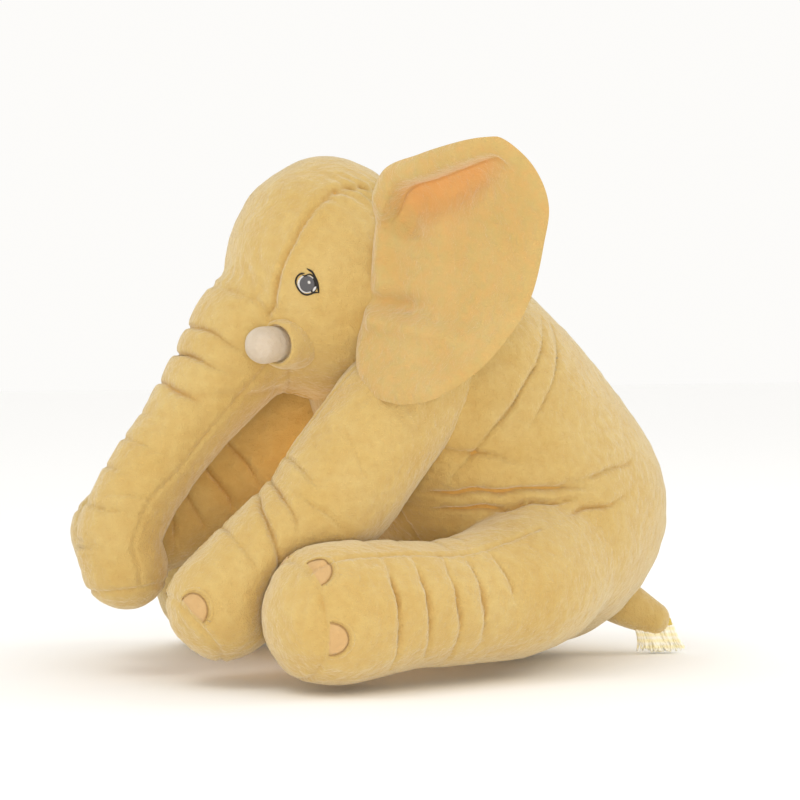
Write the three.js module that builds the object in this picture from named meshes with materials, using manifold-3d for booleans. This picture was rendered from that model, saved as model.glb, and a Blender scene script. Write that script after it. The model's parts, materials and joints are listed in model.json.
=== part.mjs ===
// A sitting stuffed elephant, 50 cm from trunk to tail, as a set of sewn fabric panels, fibre fill and
// small sewn-on pieces. Millimetres, +Z up; the elephant looks along -Y and its left side is +X.
// The origin is on the ground, under the middle of the whole toy.

import * as THREE from 'three';
import { mergeVertices } from 'three/addons/utils/BufferGeometryUtils.js';
import Module from 'manifold-3d';

const { BufferGeometry, Group, Mesh, Vector2, Vector3 } = THREE;
const wasm = await Module();
wasm.setup();

// ---------------------------------------------------------------- driving dimensions

const SKIN = 3.5; // plush and its backing, as it lies over the fill
const GAP = 0.3; // left between touching pieces
const HALF_GAP = GAP / 2;

// Soft tubes: points of the middle line, and the radius at each of them.
const BODY_STATIONS = [
  { at: [0, 110, 112], radius: 121 },
  { at: [0, 77, 170], radius: 114 },
  { at: [0, 42, 214], radius: 104 },
  { at: [0, 16, 252], radius: 84 },
];
const TRUNK_STATIONS = [
  { at: [0, -120, 280], radius: 40 },
  { at: [0, -151, 241], radius: 39 },
  { at: [0, -188, 194], radius: 35 },
  { at: [0, -220, 148], radius: 34 },
  { at: [0, -236, 112], radius: 34 },
  { at: [0, -237, 83], radius: 34 },
];
const ARM_STATIONS = [
  { at: [60, 26, 226], radius: 40 },
  { at: [70, -14, 204], radius: 40 },
  { at: [80, -56, 174], radius: 43 },
  { at: [86, -102, 129], radius: 44 },
  { at: [87, -141, 95], radius: 43 },
  { at: [87, -172, 70], radius: 43 },
];
const LEG_STATIONS = [
  { at: [70, 108, 82], radius: 66 },
  { at: [106, 62, 66], radius: 58 },
  { at: [132, 3, 54], radius: 50 },
  { at: [149, -50, 53], radius: 49 },
  { at: [158, -92, 56], radius: 55 },
];
const TAIL_STATIONS = [
  { at: [6, 194, 50], radius: 15 },
  { at: [13, 210, 38], radius: 14 },
  { at: [22, 224, 26], radius: 12 },
];
const BELLY_HALF_WIDTH = 52;
const BELLY_STEPS = 12; // straight pieces that the belly panel's side edges are made of
const FORWARD_SHIFT = 12.1; // moves the toy so that the origin is under its middle
const RIGHT_ARM_RAISE = 9; // degrees that the right arm rests higher than the left one

const HEAD_CENTRE = [0, -65, 316];
const HEAD_RADII = [88, 82, 99];
const GUSSET_HALF_WIDTH = 56;

const SOLE_DOME = 0.42; // depth of a sole's dome, in foot radii
const TRUNK_TIP_DOME = 1;
const TOENAIL_SPACING = 65; // degrees round the foot
const ARM_TOENAILS_TURN = 18; // degrees from the top of the foot outward to the middle toenail
const LEG_TOENAILS_TURN = 46;
const TOENAIL_WIDTH = 28;
const TOENAIL_LENGTH = 17;
const TOENAIL_THICKNESS = 2;
const TOENAIL_TO_SEAM = 1;

const TASSEL_LENGTH = 22;
const TASSEL_WIDTH = 30;
const TASSEL_THICKNESS = 8;

const EAR_ROOT = [84, -52, 316];
const EAR_YAW = 32; // degrees back from straight out to the side
const EAR_HALF_THICKNESS = 8;
const EAR_CLOTH = 2.2;
// The ear's outline in its own plane: outward from the root, and up from the middle of the root.
const EAR_OUTLINE = [
  [4, 0], [6, 48], [34, 84], [92, 100], [140, 105], [170, 68],
  [160, 6], [134, -48], [92, -88], [44, -98], [6, -82], [0, -48],
];
const EAR_CUP = 26; // how far the top and bottom rims come forward
const EAR_CUP_REACH = 110; // the height at which they have come that far

const EYE_AT = [76, -106, 311];
const EYE_RADIUS = 12;
const EYE_THICKNESS = 2;

const TUSK_ROOT = [50, -112, 265];
const TUSK_AIM = [0.4, -0.9, -0.08];
const TUSK_RADIUS = 15;
const TUSK_REACH = 44; // from the root's middle to the tip
const SLEEVE_RADIUS = 20.5;
const SLEEVE_REACH = 24;

// Where each moving piece turns, and how far, in degrees. The cuts below leave room for it.
const NOD = { pivot: [0, -20, 258], turns: [-4, 5] };
const LIFT = { pivot: [0, -112, 284], turns: [-2, 16] };
const LEFT_SWING = { pivot: ARM_STATIONS[0].at, turns: [0, 11] };
const RIGHT_SWING = { pivot: ARM_STATIONS[0].at, turns: [-7, 2] };
const SPLAY = { pivot: LEG_STATIONS[0].at, turns: [0, 15] };
const WAG = { pivot: TAIL_STATIONS[0].at, turns: [0, 36] };
const JOINT_ROOM = 2; // clearance round a piece that turns in its socket
const HEAD_ROOM = 5.5; // the same for the head, which sits deeper in its socket

const FAR = 600; // beyond the toy on every side, for the blocks that cut it in parts

const degrees = THREE.MathUtils.degToRad;
const X_AXIS = new Vector3(1, 0, 0);
const Z_AXIS = new Vector3(0, 0, 1);

// ---------------------------------------------------------------- materials

const cloth = (color) => new THREE.MeshStandardMaterial({ color, roughness: 0.95, metalness: 0 });
const PLUSH = cloth('#dcbf82');
const SHADED_PLUSH = cloth('#cf9f5c');
const EAR_LINING = cloth('#dfb673');
const FILL = cloth('#f3f0e8');
const PALE_PLUSH = cloth('#e9d9cc');
const NAIL_CLOTH = cloth('#d8b184');
const EYE_THREAD = cloth('#44474f');
const FRINGE = cloth('#f6f1dc');

// ---------------------------------------------------------------- solids and cuts

function facesOut(position, corners) {
  const [a, b, c] = [new Vector3(), new Vector3(), new Vector3()];
  let volume = 0;
  for (let i = 0; i < corners.length; i += 3) {
    a.fromBufferAttribute(position, corners[i]);
    b.fromBufferAttribute(position, corners[i + 1]);
    c.fromBufferAttribute(position, corners[i + 2]);
    volume += a.dot(b.cross(c));
  }
  return volume > 0;
}

// A three.js geometry as a solid, with its doubled vertices and empty triangles gone.
function toSolid(geometry) {
  const bare = geometry.clone();
  bare.deleteAttribute('normal');
  bare.deleteAttribute('uv');
  const merged = mergeVertices(bare, 1e-3);
  const index = merged.getIndex().array;
  const corners = [];
  for (let i = 0; i < index.length; i += 3) {
    const [a, b, c] = index.slice(i, i + 3);
    if (a !== b && b !== c && c !== a) corners.push(a, b, c);
  }
  const position = merged.getAttribute('position');
  if (!facesOut(position, corners)) corners.reverse();
  return new wasm.Manifold(new wasm.Mesh({
    numProp: 3,
    vertProperties: new Float32Array(position.array),
    triVerts: new Uint32Array(corners),
  }));
}

function toGeometry(solid) {
  const { vertProperties, triVerts } = solid.getMesh();
  const geometry = new BufferGeometry();
  geometry.setAttribute('position', new THREE.BufferAttribute(vertProperties, 3));
  geometry.setIndex(new THREE.BufferAttribute(triVerts, 1));
  const faceted = geometry.toNonIndexed();
  faceted.computeVertexNormals();
  return faceted;
}

// A block between two corners, of which any number can be FAR.
function box(low, high) {
  const size = new Vector3().subVectors(new Vector3(...high), new Vector3(...low));
  const geometry = new THREE.BoxGeometry(size.x, size.y, size.z);
  geometry.translate(low[0] + size.x / 2, low[1] + size.y / 2, low[2] + size.z / 2);
  return toSolid(geometry);
}

function turned(geometry, { pivot }, axis, angle) {
  const copy = geometry.clone();
  copy.translate(-pivot[0], -pivot[1], -pivot[2]);
  copy.applyMatrix4(new THREE.Matrix4().makeRotationAxis(axis, degrees(angle)));
  copy.translate(...pivot);
  return copy;
}

// The room that a piece needs while it turns: the piece at each of the joint's angles.
function sweep(geometry, joint, axis) {
  return joint.turns.map((angle) => toSolid(turned(geometry, joint, axis, angle)));
}

function cut(solid, tools) {
  return tools.reduce((rest, tool) => rest.subtract(tool), solid);
}

// ---------------------------------------------------------------- soft tubes

// A round stuffed shape along a curved middle line. Geometry is made straight, along Y, and then bent:
// angle 0 is the tube's top and angle 90 degrees is its +X side.
class SoftTube {
  constructor(stations, options = {}) {
    const { rootDome = 1, tipDome = 1, sides = 12, rings = 8, capRings = 2 } = options;
    this.spine = new THREE.CatmullRomCurve3(stations.map((station) => new Vector3(...station.at)));
    this.radii = new THREE.SplineCurve(stations.map((station, i) => new Vector2(i, station.radius)));
    this.length = this.spine.getLength();
    Object.assign(this, { stations, rootDome, tipDome, sides, rings, capRings });
  }

  radiusAt(distance) {
    const share = THREE.MathUtils.clamp(distance / this.length, 0, 1);
    return this.radii.getPoint(this.spine.getUtoTmapping(share)).y;
  }

  frameAt(distance) {
    const share = THREE.MathUtils.clamp(distance / this.length, 0, 1);
    const along = this.spine.getTangentAt(share);
    const centre = this.spine.getPointAt(share).addScaledVector(along, distance - share * this.length);
    const side = X_AXIS.clone().addScaledVector(along, -along.x).normalize();
    const top = new Vector3().crossVectors(along, side);
    return { centre, along, side, top };
  }

  bend(straight) {
    const geometry = straight.clone();
    const position = geometry.getAttribute('position');
    for (let i = 0; i < position.count; i += 1) {
      const { centre, side, top } = this.frameAt(position.getY(i));
      centre.addScaledVector(side, position.getX(i)).addScaledVector(top, position.getZ(i));
      position.setXYZ(i, centre.x, centre.y, centre.z);
    }
    return geometry;
  }

  // Radius and distance of the rounded outline, moved out by offset, from the root's pole to the tip's.
  outline(offset, capRings = this.capRings) {
    const points = [];
    const rootRadius = this.radiusAt(0) + offset;
    const tipRadius = this.radiusAt(this.length) + offset;
    const rootDepth = this.radiusAt(0) * this.rootDome + offset;
    const tipDepth = this.radiusAt(this.length) * this.tipDome + offset;
    for (let i = 0; i < capRings; i += 1) {
      const angle = (i / capRings) * (Math.PI / 2);
      points.push(new Vector2(rootRadius * Math.sin(angle), -rootDepth * Math.cos(angle)));
    }
    for (let i = 0; i <= this.rings; i += 1) {
      const distance = (i / this.rings) * this.length;
      points.push(new Vector2(this.radiusAt(distance) + offset, distance));
    }
    for (let i = capRings - 1; i >= 0; i -= 1) {
      const angle = (i / capRings) * (Math.PI / 2);
      const distance = this.length + tipDepth * Math.cos(angle);
      points.push(new Vector2(tipRadius * Math.sin(angle), distance));
    }
    return points;
  }

  whole(offset) {
    return this.bend(new THREE.LatheGeometry(this.outline(offset), this.sides));
  }

  // A coarse shape that holds the whole tube, to cut room for it.
  room() {
    const sides = 8;
    const coarse = new SoftTube(this.stations, { ...this, sides, rings: 4 });
    const outline = coarse.outline(JOINT_ROOM, 2);
    outline.forEach((point) => point.setX(point.x / Math.cos(Math.PI / sides)));
    return coarse.bend(new THREE.LatheGeometry(outline, sides));
  }

  // A curved strip of skin between two angles, from one distance along the tube to another.
  strip(fromAngle, toAngle, from, to, outer, inner) {
    const angleSteps = Math.round(this.sides * (toAngle - fromAngle) / 360);
    const sheet = new THREE.BoxGeometry(1, 1, 1, angleSteps, this.rings, 1);
    const position = sheet.getAttribute('position');
    for (let i = 0; i < position.count; i += 1) {
      const share = position.getX(i) + 0.5;
      const distance = THREE.MathUtils.lerp(from, to, position.getY(i) + 0.5);
      const radius = this.radiusAt(distance) + (position.getZ(i) > 0 ? outer : inner);
      const slack = Math.asin(HALF_GAP / radius);
      const low = degrees(fromAngle) + slack;
      const high = degrees(toAngle) - slack;
      const angle = THREE.MathUtils.lerp(low, high, share);
      position.setXYZ(i, radius * Math.sin(angle), distance, radius * Math.cos(angle));
    }
    return this.bend(sheet);
  }

  // The domed end panel, from its seam at the end of the middle line to the pole.
  endPanel() {
    const { capRings } = this;
    const radius = this.radiusAt(this.length);
    const depth = radius * this.tipDome;
    const dome = (offset) => Array.from({ length: capRings + 1 }, (_, i) => {
      const angle = (i / capRings) * (Math.PI / 2);
      const rise = (depth + offset - GAP) * Math.cos(angle);
      return new Vector2((radius + offset) * Math.sin(angle), this.length + GAP + rise);
    });
    const outline = [...dome(0), ...dome(-SKIN).reverse()];
    return this.bend(new THREE.LatheGeometry(outline, this.sides));
  }
}

// ---------------------------------------------------------------- the scene graph

const elephant = new Group();
elephant.name = 'stuffed_elephant';

function add(name, shape, material) {
  const solid = shape instanceof BufferGeometry ? toSolid(shape) : shape;
  const mesh = new Mesh(toGeometry(solid), material);
  mesh.name = name;
  elephant.add(mesh);
}

// ---------------------------------------------------------------- the shapes that others are cut by

const HEAD_SIDES = 20;
const HEAD_RINGS = 12;
const ROOM_SIDES = 12;
const ROOM_RINGS = 8;

const headShape = (offset, sides = HEAD_SIDES, rings = HEAD_RINGS) => {
  const geometry = new THREE.SphereGeometry(1, sides, rings);
  geometry.rotateX(Math.PI / 2);
  geometry.scale(...HEAD_RADII.map((radius) => radius + offset));
  return geometry.translate(...HEAD_CENTRE);
};

const bodyTube = new SoftTube(BODY_STATIONS, { sides: 16, rings: 4, capRings: 3 });
const trunkTube = new SoftTube(TRUNK_STATIONS, { rootDome: 0.6, tipDome: TRUNK_TIP_DOME, rings: 8 });
const armTube = new SoftTube(ARM_STATIONS, { tipDome: SOLE_DOME, rings: 7 });
const legTube = new SoftTube(LEG_STATIONS, { tipDome: SOLE_DOME, rings: 6 });
const tailTube = new SoftTube(TAIL_STATIONS, { tipDome: 0.5, sides: 8, rings: 3 });

// Placing a limb: the left ones as they are made, and the right ones mirrored.
const leftPlace = (solid) => solid;
const rightPlace = (solid) => solid.mirror([1, 0, 0]);
const [pivotX, pivotY, pivotZ] = RIGHT_SWING.pivot;
const rightArmPlace = (solid) => rightPlace(solid
  .translate([-pivotX, -pivotY, -pivotZ])
  .rotate([-RIGHT_ARM_RAISE, 0, 0])
  .translate([pivotX, pivotY, pivotZ]));

const liftAxis = X_AXIS.clone().negate();
const headRoom = sweep(headShape(HEAD_ROOM, ROOM_SIDES, ROOM_RINGS), NOD, liftAxis);
const trunkRoom = sweep(trunkTube.room(), LIFT, liftAxis);
const leftArmRoom = sweep(armTube.room(), LEFT_SWING, liftAxis);
const rightArmRoom = sweep(armTube.room(), RIGHT_SWING, liftAxis).map(rightArmPlace);
const leftLegRoom = sweep(legTube.room(), SPLAY, Z_AXIS);
const rightLegRoom = leftLegRoom.map(rightPlace);
const tailRoom = sweep(tailTube.room(), WAG, X_AXIS);

// ---------------------------------------------------------------- body

// A curved block under the body tube's middle line, as wide as the belly panel.
function belowBody(halfWidth, drop) {
  const block = new THREE.BoxGeometry(2 * halfWidth, FAR, FAR, 1, BELLY_STEPS, 1);
  return toSolid(bodyTube.bend(block.translate(0, bodyTube.length / 2, -FAR / 2 - drop)));
}

function addBody() {
  const above = (height) => box([-FAR, -FAR, height], [FAR, FAR, FAR]);
  const room = [
    ...headRoom, ...leftArmRoom, ...rightArmRoom, ...leftLegRoom, ...rightLegRoom, ...tailRoom,
  ];
  const outside = toSolid(bodyTube.whole(0)).intersect(above(0));
  const inside = toSolid(bodyTube.whole(-SKIN)).intersect(above(SKIN));
  const skin = cut(outside.subtract(inside), room);
  add('belly_panel', skin.intersect(belowBody(BELLY_HALF_WIDTH, GAP)), SHADED_PLUSH);
  const sides = skin.subtract(belowBody(BELLY_HALF_WIDTH + GAP, 0));
  add('body_left_panel', sides.intersect(box([HALF_GAP, -FAR, -FAR], [FAR, FAR, FAR])), PLUSH);
  add('body_right_panel', sides.intersect(box([-FAR, -FAR, -FAR], [-HALF_GAP, FAR, FAR])), PLUSH);
  const fill = toSolid(bodyTube.whole(-SKIN - GAP)).intersect(above(SKIN + GAP));
  add('body_stuffing', cut(fill, room), FILL);
}

// ---------------------------------------------------------------- head

function addHead() {
  const skin = cut(toSolid(headShape(0)).subtract(toSolid(headShape(-SKIN))), trunkRoom);
  const between = (from, to) => skin.intersect(box([from, -FAR, -FAR], [to, FAR, FAR]));
  const edge = GUSSET_HALF_WIDTH;
  add('head_left_panel', between(edge + HALF_GAP, FAR), PLUSH);
  add('head_right_panel', between(-FAR, -edge - HALF_GAP), PLUSH);
  add('head_gusset', between(-edge + HALF_GAP, edge - HALF_GAP), PLUSH);
  add('head_stuffing', cut(toSolid(headShape(-SKIN - GAP)), trunkRoom), FILL);
}

function pointedAlong(geometry, direction) {
  const turn = new THREE.Quaternion().setFromUnitVectors(new Vector3(0, 1, 0), direction);
  return geometry.applyQuaternion(turn);
}

function addEyeAndTusk(side) {
  const left = side === 'left';
  const place = (solid) => (left ? solid : solid.mirror([1, 0, 0]));
  const normal = new Vector3(...EYE_AT.map((value, i) => (value - HEAD_CENTRE[i]) / HEAD_RADII[i] ** 2));
  normal.normalize();
  const surface = new Vector3(...EYE_AT.map((value, i) => (value - HEAD_CENTRE[i]) / HEAD_RADII[i]));
  surface.normalize();
  surface.set(...surface.toArray().map((value, i) => HEAD_CENTRE[i] + value * HEAD_RADII[i]));
  const disc = new THREE.CylinderGeometry(EYE_RADIUS - 1, EYE_RADIUS, EYE_THICKNESS, 14);
  disc.translate(0, GAP + EYE_THICKNESS / 2, 0);
  const eye = pointedAlong(disc, normal).translate(...surface.toArray());
  add(`${side}_eye`, place(toSolid(eye)), EYE_THREAD);

  const aim = new Vector3(...TUSK_AIM).normalize();
  const straightEnd = TUSK_REACH - TUSK_RADIUS;
  const tuskOutline = [new Vector2(0, 0), new Vector2(TUSK_RADIUS - 1, 0)];
  for (let i = 0; i <= 4; i += 1) {
    const angle = (i / 4) * (Math.PI / 2);
    const radius = i === 4 ? 0 : TUSK_RADIUS * Math.cos(angle);
    tuskOutline.push(new Vector2(radius, straightEnd + TUSK_RADIUS * Math.sin(angle)));
  }
  const bore = TUSK_RADIUS + GAP;
  const sleeveOutline = [
    new Vector2(bore, 0),
    new Vector2(SLEEVE_RADIUS, 0),
    new Vector2(SLEEVE_RADIUS, SLEEVE_REACH - 3),
    new Vector2(SLEEVE_RADIUS - 2, SLEEVE_REACH),
    new Vector2(bore, SLEEVE_REACH),
    new Vector2(bore, 0),
  ];
  const neighbours = [toSolid(headShape(GAP)), ...trunkRoom];
  const onHead = (outline) => {
    const geometry = pointedAlong(new THREE.LatheGeometry(outline, 12), aim);
    return place(cut(toSolid(geometry.translate(...TUSK_ROOT)), neighbours));
  };
  add(`${side}_tusk`, onHead(tuskOutline), PALE_PLUSH);
  add(`${side}_tusk_sleeve`, onHead(sleeveOutline), PLUSH);
}

// ---------------------------------------------------------------- trunk

function addTrunk() {
  const end = trunkTube.length - HALF_GAP;
  add('trunk_top_panel', trunkTube.strip(-90, 90, 0, end, 0, -SKIN), PLUSH);
  add('trunk_under_panel', trunkTube.strip(90, 270, 0, end, 0, -SKIN), SHADED_PLUSH);
  add('trunk_tip_panel', trunkTube.endPanel(), PLUSH);
  add('trunk_stuffing', trunkTube.whole(-SKIN - GAP), FILL);
}

// ---------------------------------------------------------------- limbs

// A half-moon patch of cloth on the foot, its straight edge beside the sole's seam.
function toenail(tube, angle) {
  const edge = tube.length - HALF_GAP - TOENAIL_TO_SEAM;
  const { centre, along, side, top } = tube.frameAt(edge);
  const outward = top.clone().multiplyScalar(Math.cos(angle)).addScaledVector(side, Math.sin(angle));
  const across = new Vector3().crossVectors(along, outward);
  const shape = new THREE.Shape();
  shape.absellipse(0, 0, TOENAIL_WIDTH / 2, TOENAIL_LENGTH, 0, Math.PI);
  const depth = 2 * tube.radiusAt(tube.length);
  const moon = new THREE.ExtrudeGeometry(shape, { depth, bevelEnabled: false, curveSegments: 3 });
  const placing = new THREE.Matrix4().makeBasis(across, along.clone().negate(), outward);
  moon.applyMatrix4(placing.setPosition(centre));
  const under = GAP;
  const over = GAP + TOENAIL_THICKNESS;
  const outline = [];
  const from = tube.length - HALF_GAP;
  const ringLength = tube.length / tube.rings;
  for (let i = 0; i <= 2; i += 1) {
    const distance = from - i * ringLength;
    outline.push(new Vector2(tube.radiusAt(distance) + under, distance));
  }
  for (let i = 2; i >= 0; i -= 1) {
    const distance = from - i * ringLength;
    outline.push(new Vector2(tube.radiusAt(distance) + over, distance));
  }
  outline.push(outline[0].clone());
  const band = tube.bend(new THREE.LatheGeometry(outline, tube.sides));
  return toSolid(band).intersect(toSolid(moon));
}

function addLimb(name, tube, toenailsTurn, place) {
  const end = tube.length - HALF_GAP;
  const shape = (geometry) => place(toSolid(geometry));
  add(`${name}_outer_panel`, shape(tube.strip(0, 180, 0, end, 0, -SKIN)), PLUSH);
  add(`${name}_inner_panel`, shape(tube.strip(180, 360, 0, end, 0, -SKIN)), SHADED_PLUSH);
  add(`${name}_stuffing`, shape(tube.whole(-SKIN - GAP)), FILL);
  add(`${name}_sole`, shape(tube.endPanel()), PLUSH);
  [-1, 0, 1].forEach((step, i) => {
    const angle = degrees(toenailsTurn + step * TOENAIL_SPACING);
    add(`${name}_toenail_${i + 1}`, place(toenail(tube, angle)), NAIL_CLOTH);
  });
}

// ---------------------------------------------------------------- ears

const earEdge = new THREE.CatmullRomCurve3(
  EAR_OUTLINE.map(([outward, up]) => new Vector3(outward, up, 0)), true);
const EAR_MIDDLE = new Vector3(86, 4, 0);

// Bends a flat disc, whose rim has radius 1 and whose thickness lies along Y, into the cupped ear.
function shapedEar(disc) {
  const out = new Vector3(Math.cos(degrees(EAR_YAW)), Math.sin(degrees(EAR_YAW)), 0);
  const forward = new Vector3(Math.sin(degrees(EAR_YAW)), -Math.cos(degrees(EAR_YAW)), 0);
  const position = disc.getAttribute('position');
  for (let i = 0; i < position.count; i += 1) {
    const reach = Math.hypot(position.getX(i), position.getZ(i));
    const turn = Math.atan2(position.getX(i), position.getZ(i)) / (2 * Math.PI);
    const rim = earEdge.getPoint((turn + 1) % 1);
    const inPlane = EAR_MIDDLE.clone().lerp(rim, reach);
    const cup = EAR_CUP * (inPlane.y / EAR_CUP_REACH) ** 2;
    const point = new Vector3(...EAR_ROOT);
    point.addScaledVector(out, inPlane.x).addScaledVector(Z_AXIS, inPlane.y);
    point.addScaledVector(forward, cup + position.getY(i));
    position.setXYZ(i, point.x, point.y, point.z);
  }
  return disc;
}

function addEar(side) {
  const place = (solid) => (side === 'left' ? solid : solid.mirror([1, 0, 0]));
  const reaches = [0, 0.4, 0.75, 0.93];
  const face = (inset) => reaches.map((reach) => (
    new Vector2(reach, EAR_HALF_THICKNESS * Math.sqrt(1 - reach ** 3) - inset)));
  const disc = (outline) => toSolid(shapedEar(new THREE.LatheGeometry(outline, 18)));
  const flipped = (outline) => outline.map((point) => new Vector2(point.x, -point.y));
  const clothOutline = [
    ...face(0),
    new Vector2(1, HALF_GAP),
    new Vector2(0.94, HALF_GAP),
    ...face(EAR_CLOTH).reverse(),
  ];
  const fillFace = face(EAR_CLOTH + GAP);
  const fillOutline = [...flipped(fillFace), ...fillFace.reverse()];
  add(`${side}_ear_front`, place(disc(clothOutline)), EAR_LINING);
  add(`${side}_ear_wadding`, place(disc(fillOutline)), FILL);
  add(`${side}_ear_back`, place(disc(flipped(clothOutline).reverse())), PLUSH);
}

// ---------------------------------------------------------------- tail

function addTail() {
  const end = tailTube.length;
  add('tail_cover', toSolid(tailTube.bend(new THREE.LatheGeometry([
    new Vector2(tailTube.radiusAt(0), 0),
    new Vector2(tailTube.radiusAt(end / 2), end / 2),
    new Vector2(tailTube.radiusAt(end), end),
    new Vector2(tailTube.radiusAt(end) - SKIN, end),
    new Vector2(tailTube.radiusAt(end / 2) - SKIN, end / 2),
    new Vector2(tailTube.radiusAt(0) - SKIN, 0),
    new Vector2(tailTube.radiusAt(0), 0),
  ], tailTube.sides))), PLUSH);
  add('tail_stuffing', tailTube.bend(new THREE.LatheGeometry([
    new Vector2(0, 0),
    new Vector2(tailTube.radiusAt(0) - SKIN - GAP, 0),
    new Vector2(tailTube.radiusAt(end / 2) - SKIN - GAP, end / 2),
    new Vector2(tailTube.radiusAt(end) - SKIN - GAP, end),
    new Vector2(0, end),
  ], tailTube.sides)), FILL);
  const fan = new THREE.Shape();
  fan.moveTo(-TASSEL_WIDTH / 4, 0);
  fan.lineTo(TASSEL_WIDTH / 4, 0);
  fan.lineTo(TASSEL_WIDTH / 2, TASSEL_LENGTH);
  fan.lineTo(-TASSEL_WIDTH / 2, TASSEL_LENGTH);
  fan.closePath();
  const tassel = new THREE.ExtrudeGeometry(fan, { depth: TASSEL_THICKNESS, bevelEnabled: false });
  tassel.translate(0, end + GAP, -TASSEL_THICKNESS / 2);
  add('tail_tassel', tailTube.bend(tassel), FRINGE);
}

// ---------------------------------------------------------------- assembly

addBody();
addHead();
addTrunk();
['left', 'right'].forEach((side) => {
  addEyeAndTusk(side);
  addEar(side);
});
addLimb('left_arm', armTube, ARM_TOENAILS_TURN, leftPlace);
addLimb('right_arm', armTube, ARM_TOENAILS_TURN, rightArmPlace);
addLimb('left_leg', legTube, LEG_TOENAILS_TURN, leftPlace);
addLimb('right_leg', legTube, LEG_TOENAILS_TURN, rightPlace);
addTail();

elephant.position.y = FORWARD_SHIFT;

export default elephant;
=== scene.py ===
"""A large sitting plush elephant: sewn plush panels over soft filling, cupped ears, embroidered eyes,
short tusks, appliqued toenails and a tasselled tail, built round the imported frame.
All shapes are worked out in millimetres, in the row frame, and turned to metres when a mesh is made."""
import json
import math

import bpy
import numpy as np
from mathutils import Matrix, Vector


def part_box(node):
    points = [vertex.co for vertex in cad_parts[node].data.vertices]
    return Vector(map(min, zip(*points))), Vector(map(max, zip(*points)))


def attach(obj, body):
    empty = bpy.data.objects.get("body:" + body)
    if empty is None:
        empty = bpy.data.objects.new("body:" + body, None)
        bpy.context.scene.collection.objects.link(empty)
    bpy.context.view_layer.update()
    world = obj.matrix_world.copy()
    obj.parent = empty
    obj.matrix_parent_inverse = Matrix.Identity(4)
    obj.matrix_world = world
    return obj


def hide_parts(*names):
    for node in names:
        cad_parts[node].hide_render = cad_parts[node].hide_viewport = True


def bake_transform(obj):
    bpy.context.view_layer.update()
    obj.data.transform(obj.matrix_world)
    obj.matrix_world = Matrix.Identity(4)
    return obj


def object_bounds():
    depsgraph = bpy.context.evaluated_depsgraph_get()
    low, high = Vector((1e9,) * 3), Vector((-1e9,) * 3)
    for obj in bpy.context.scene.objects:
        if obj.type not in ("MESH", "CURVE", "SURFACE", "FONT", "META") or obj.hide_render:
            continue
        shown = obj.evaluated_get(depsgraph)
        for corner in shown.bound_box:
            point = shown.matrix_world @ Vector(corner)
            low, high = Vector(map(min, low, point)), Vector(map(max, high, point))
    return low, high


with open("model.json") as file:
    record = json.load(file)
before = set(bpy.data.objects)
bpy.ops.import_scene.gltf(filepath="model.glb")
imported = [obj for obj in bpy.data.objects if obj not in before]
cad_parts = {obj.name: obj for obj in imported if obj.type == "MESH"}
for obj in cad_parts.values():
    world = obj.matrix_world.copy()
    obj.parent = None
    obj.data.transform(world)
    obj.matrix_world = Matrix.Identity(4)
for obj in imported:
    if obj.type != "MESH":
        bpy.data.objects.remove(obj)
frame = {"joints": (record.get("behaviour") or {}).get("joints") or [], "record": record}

import openvdb
from mathutils import Vector

CAD_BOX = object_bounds()
MM = 0.001
GROUND = 0.0
SIDES = ("left", "right")
# Grid steps of the cloth and the filling, cells in a block of the grid, and points worked on at a time.
VOXEL = 1.9
FILL_VOXEL = 6.0
BLOCK_CELLS = 8
CHUNK = 20000
# Space left round a shape when its surface is looked for.
ROOM = 8.0
TUBE_STEP = 4.0
# How full each skin is of filling.
BODY_FILL = 0.8
FACE_FILL = 0.85
TAIL_FILL = 0.7
# Painted shade in creases: the deep colour starts at this depth, is full after this range, and never passes
# this share.
SHADE_FROM = 1.3
SHADE_RANGE = 5.0
SHADE_MOST = 0.5

UP = np.array([0.0, 0.0, 1.0])
FORWARD = np.array([0.0, -1.0, 0.0])
# One description serves both sides: right-hand points times this are as if they were on the left.
MIRROR = {"left": np.ones(3), "right": np.array([-1.0, 1.0, 1.0])}


# ---------------------------------------------------------------- places taken from the frame

def corners(*nodes):
    """Lowest and highest corner of several CAD nodes together, in mm."""
    boxes = [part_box(node) for node in nodes]
    low = np.min([np.array(box[0]) for box in boxes], axis=0) / MM
    high = np.max([np.array(box[1]) for box in boxes], axis=0) / MM
    return low, high


def middle(node):
    low, high = corners(node)
    return (low + high) / 2


JOINTS = {joint["name"]: joint for joint in frame["joints"]}


def pivot(name):
    return np.array(JOINTS[name]["pos_m"], float) / MM


SEAT = np.array(frame["record"]["mounts"][0]["pos_m"], float) / MM
ARM_ROOT = pivot("left_arm_swing")
LEG_ROOT = pivot("left_leg_splay")
TRUNK_ROOT = pivot("trunk_lift")
EAR_ROOT = pivot("left_ear_flap")
TAIL_ROOT = pivot("tail_lift")
HEAD_LOW, HEAD_HIGH = corners("head_left_panel", "head_right_panel", "head_gusset")
HEAD_MIDDLE = (HEAD_LOW + HEAD_HIGH) / 2
HEAD_RADII = (HEAD_HIGH - HEAD_LOW) / 2


def offsets(origin, rows):
    """Stations given as steps from an origin, as x, y, z and radius."""
    return [(*(origin + np.array(row[:3], float)), row[3]) for row in rows]


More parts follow.
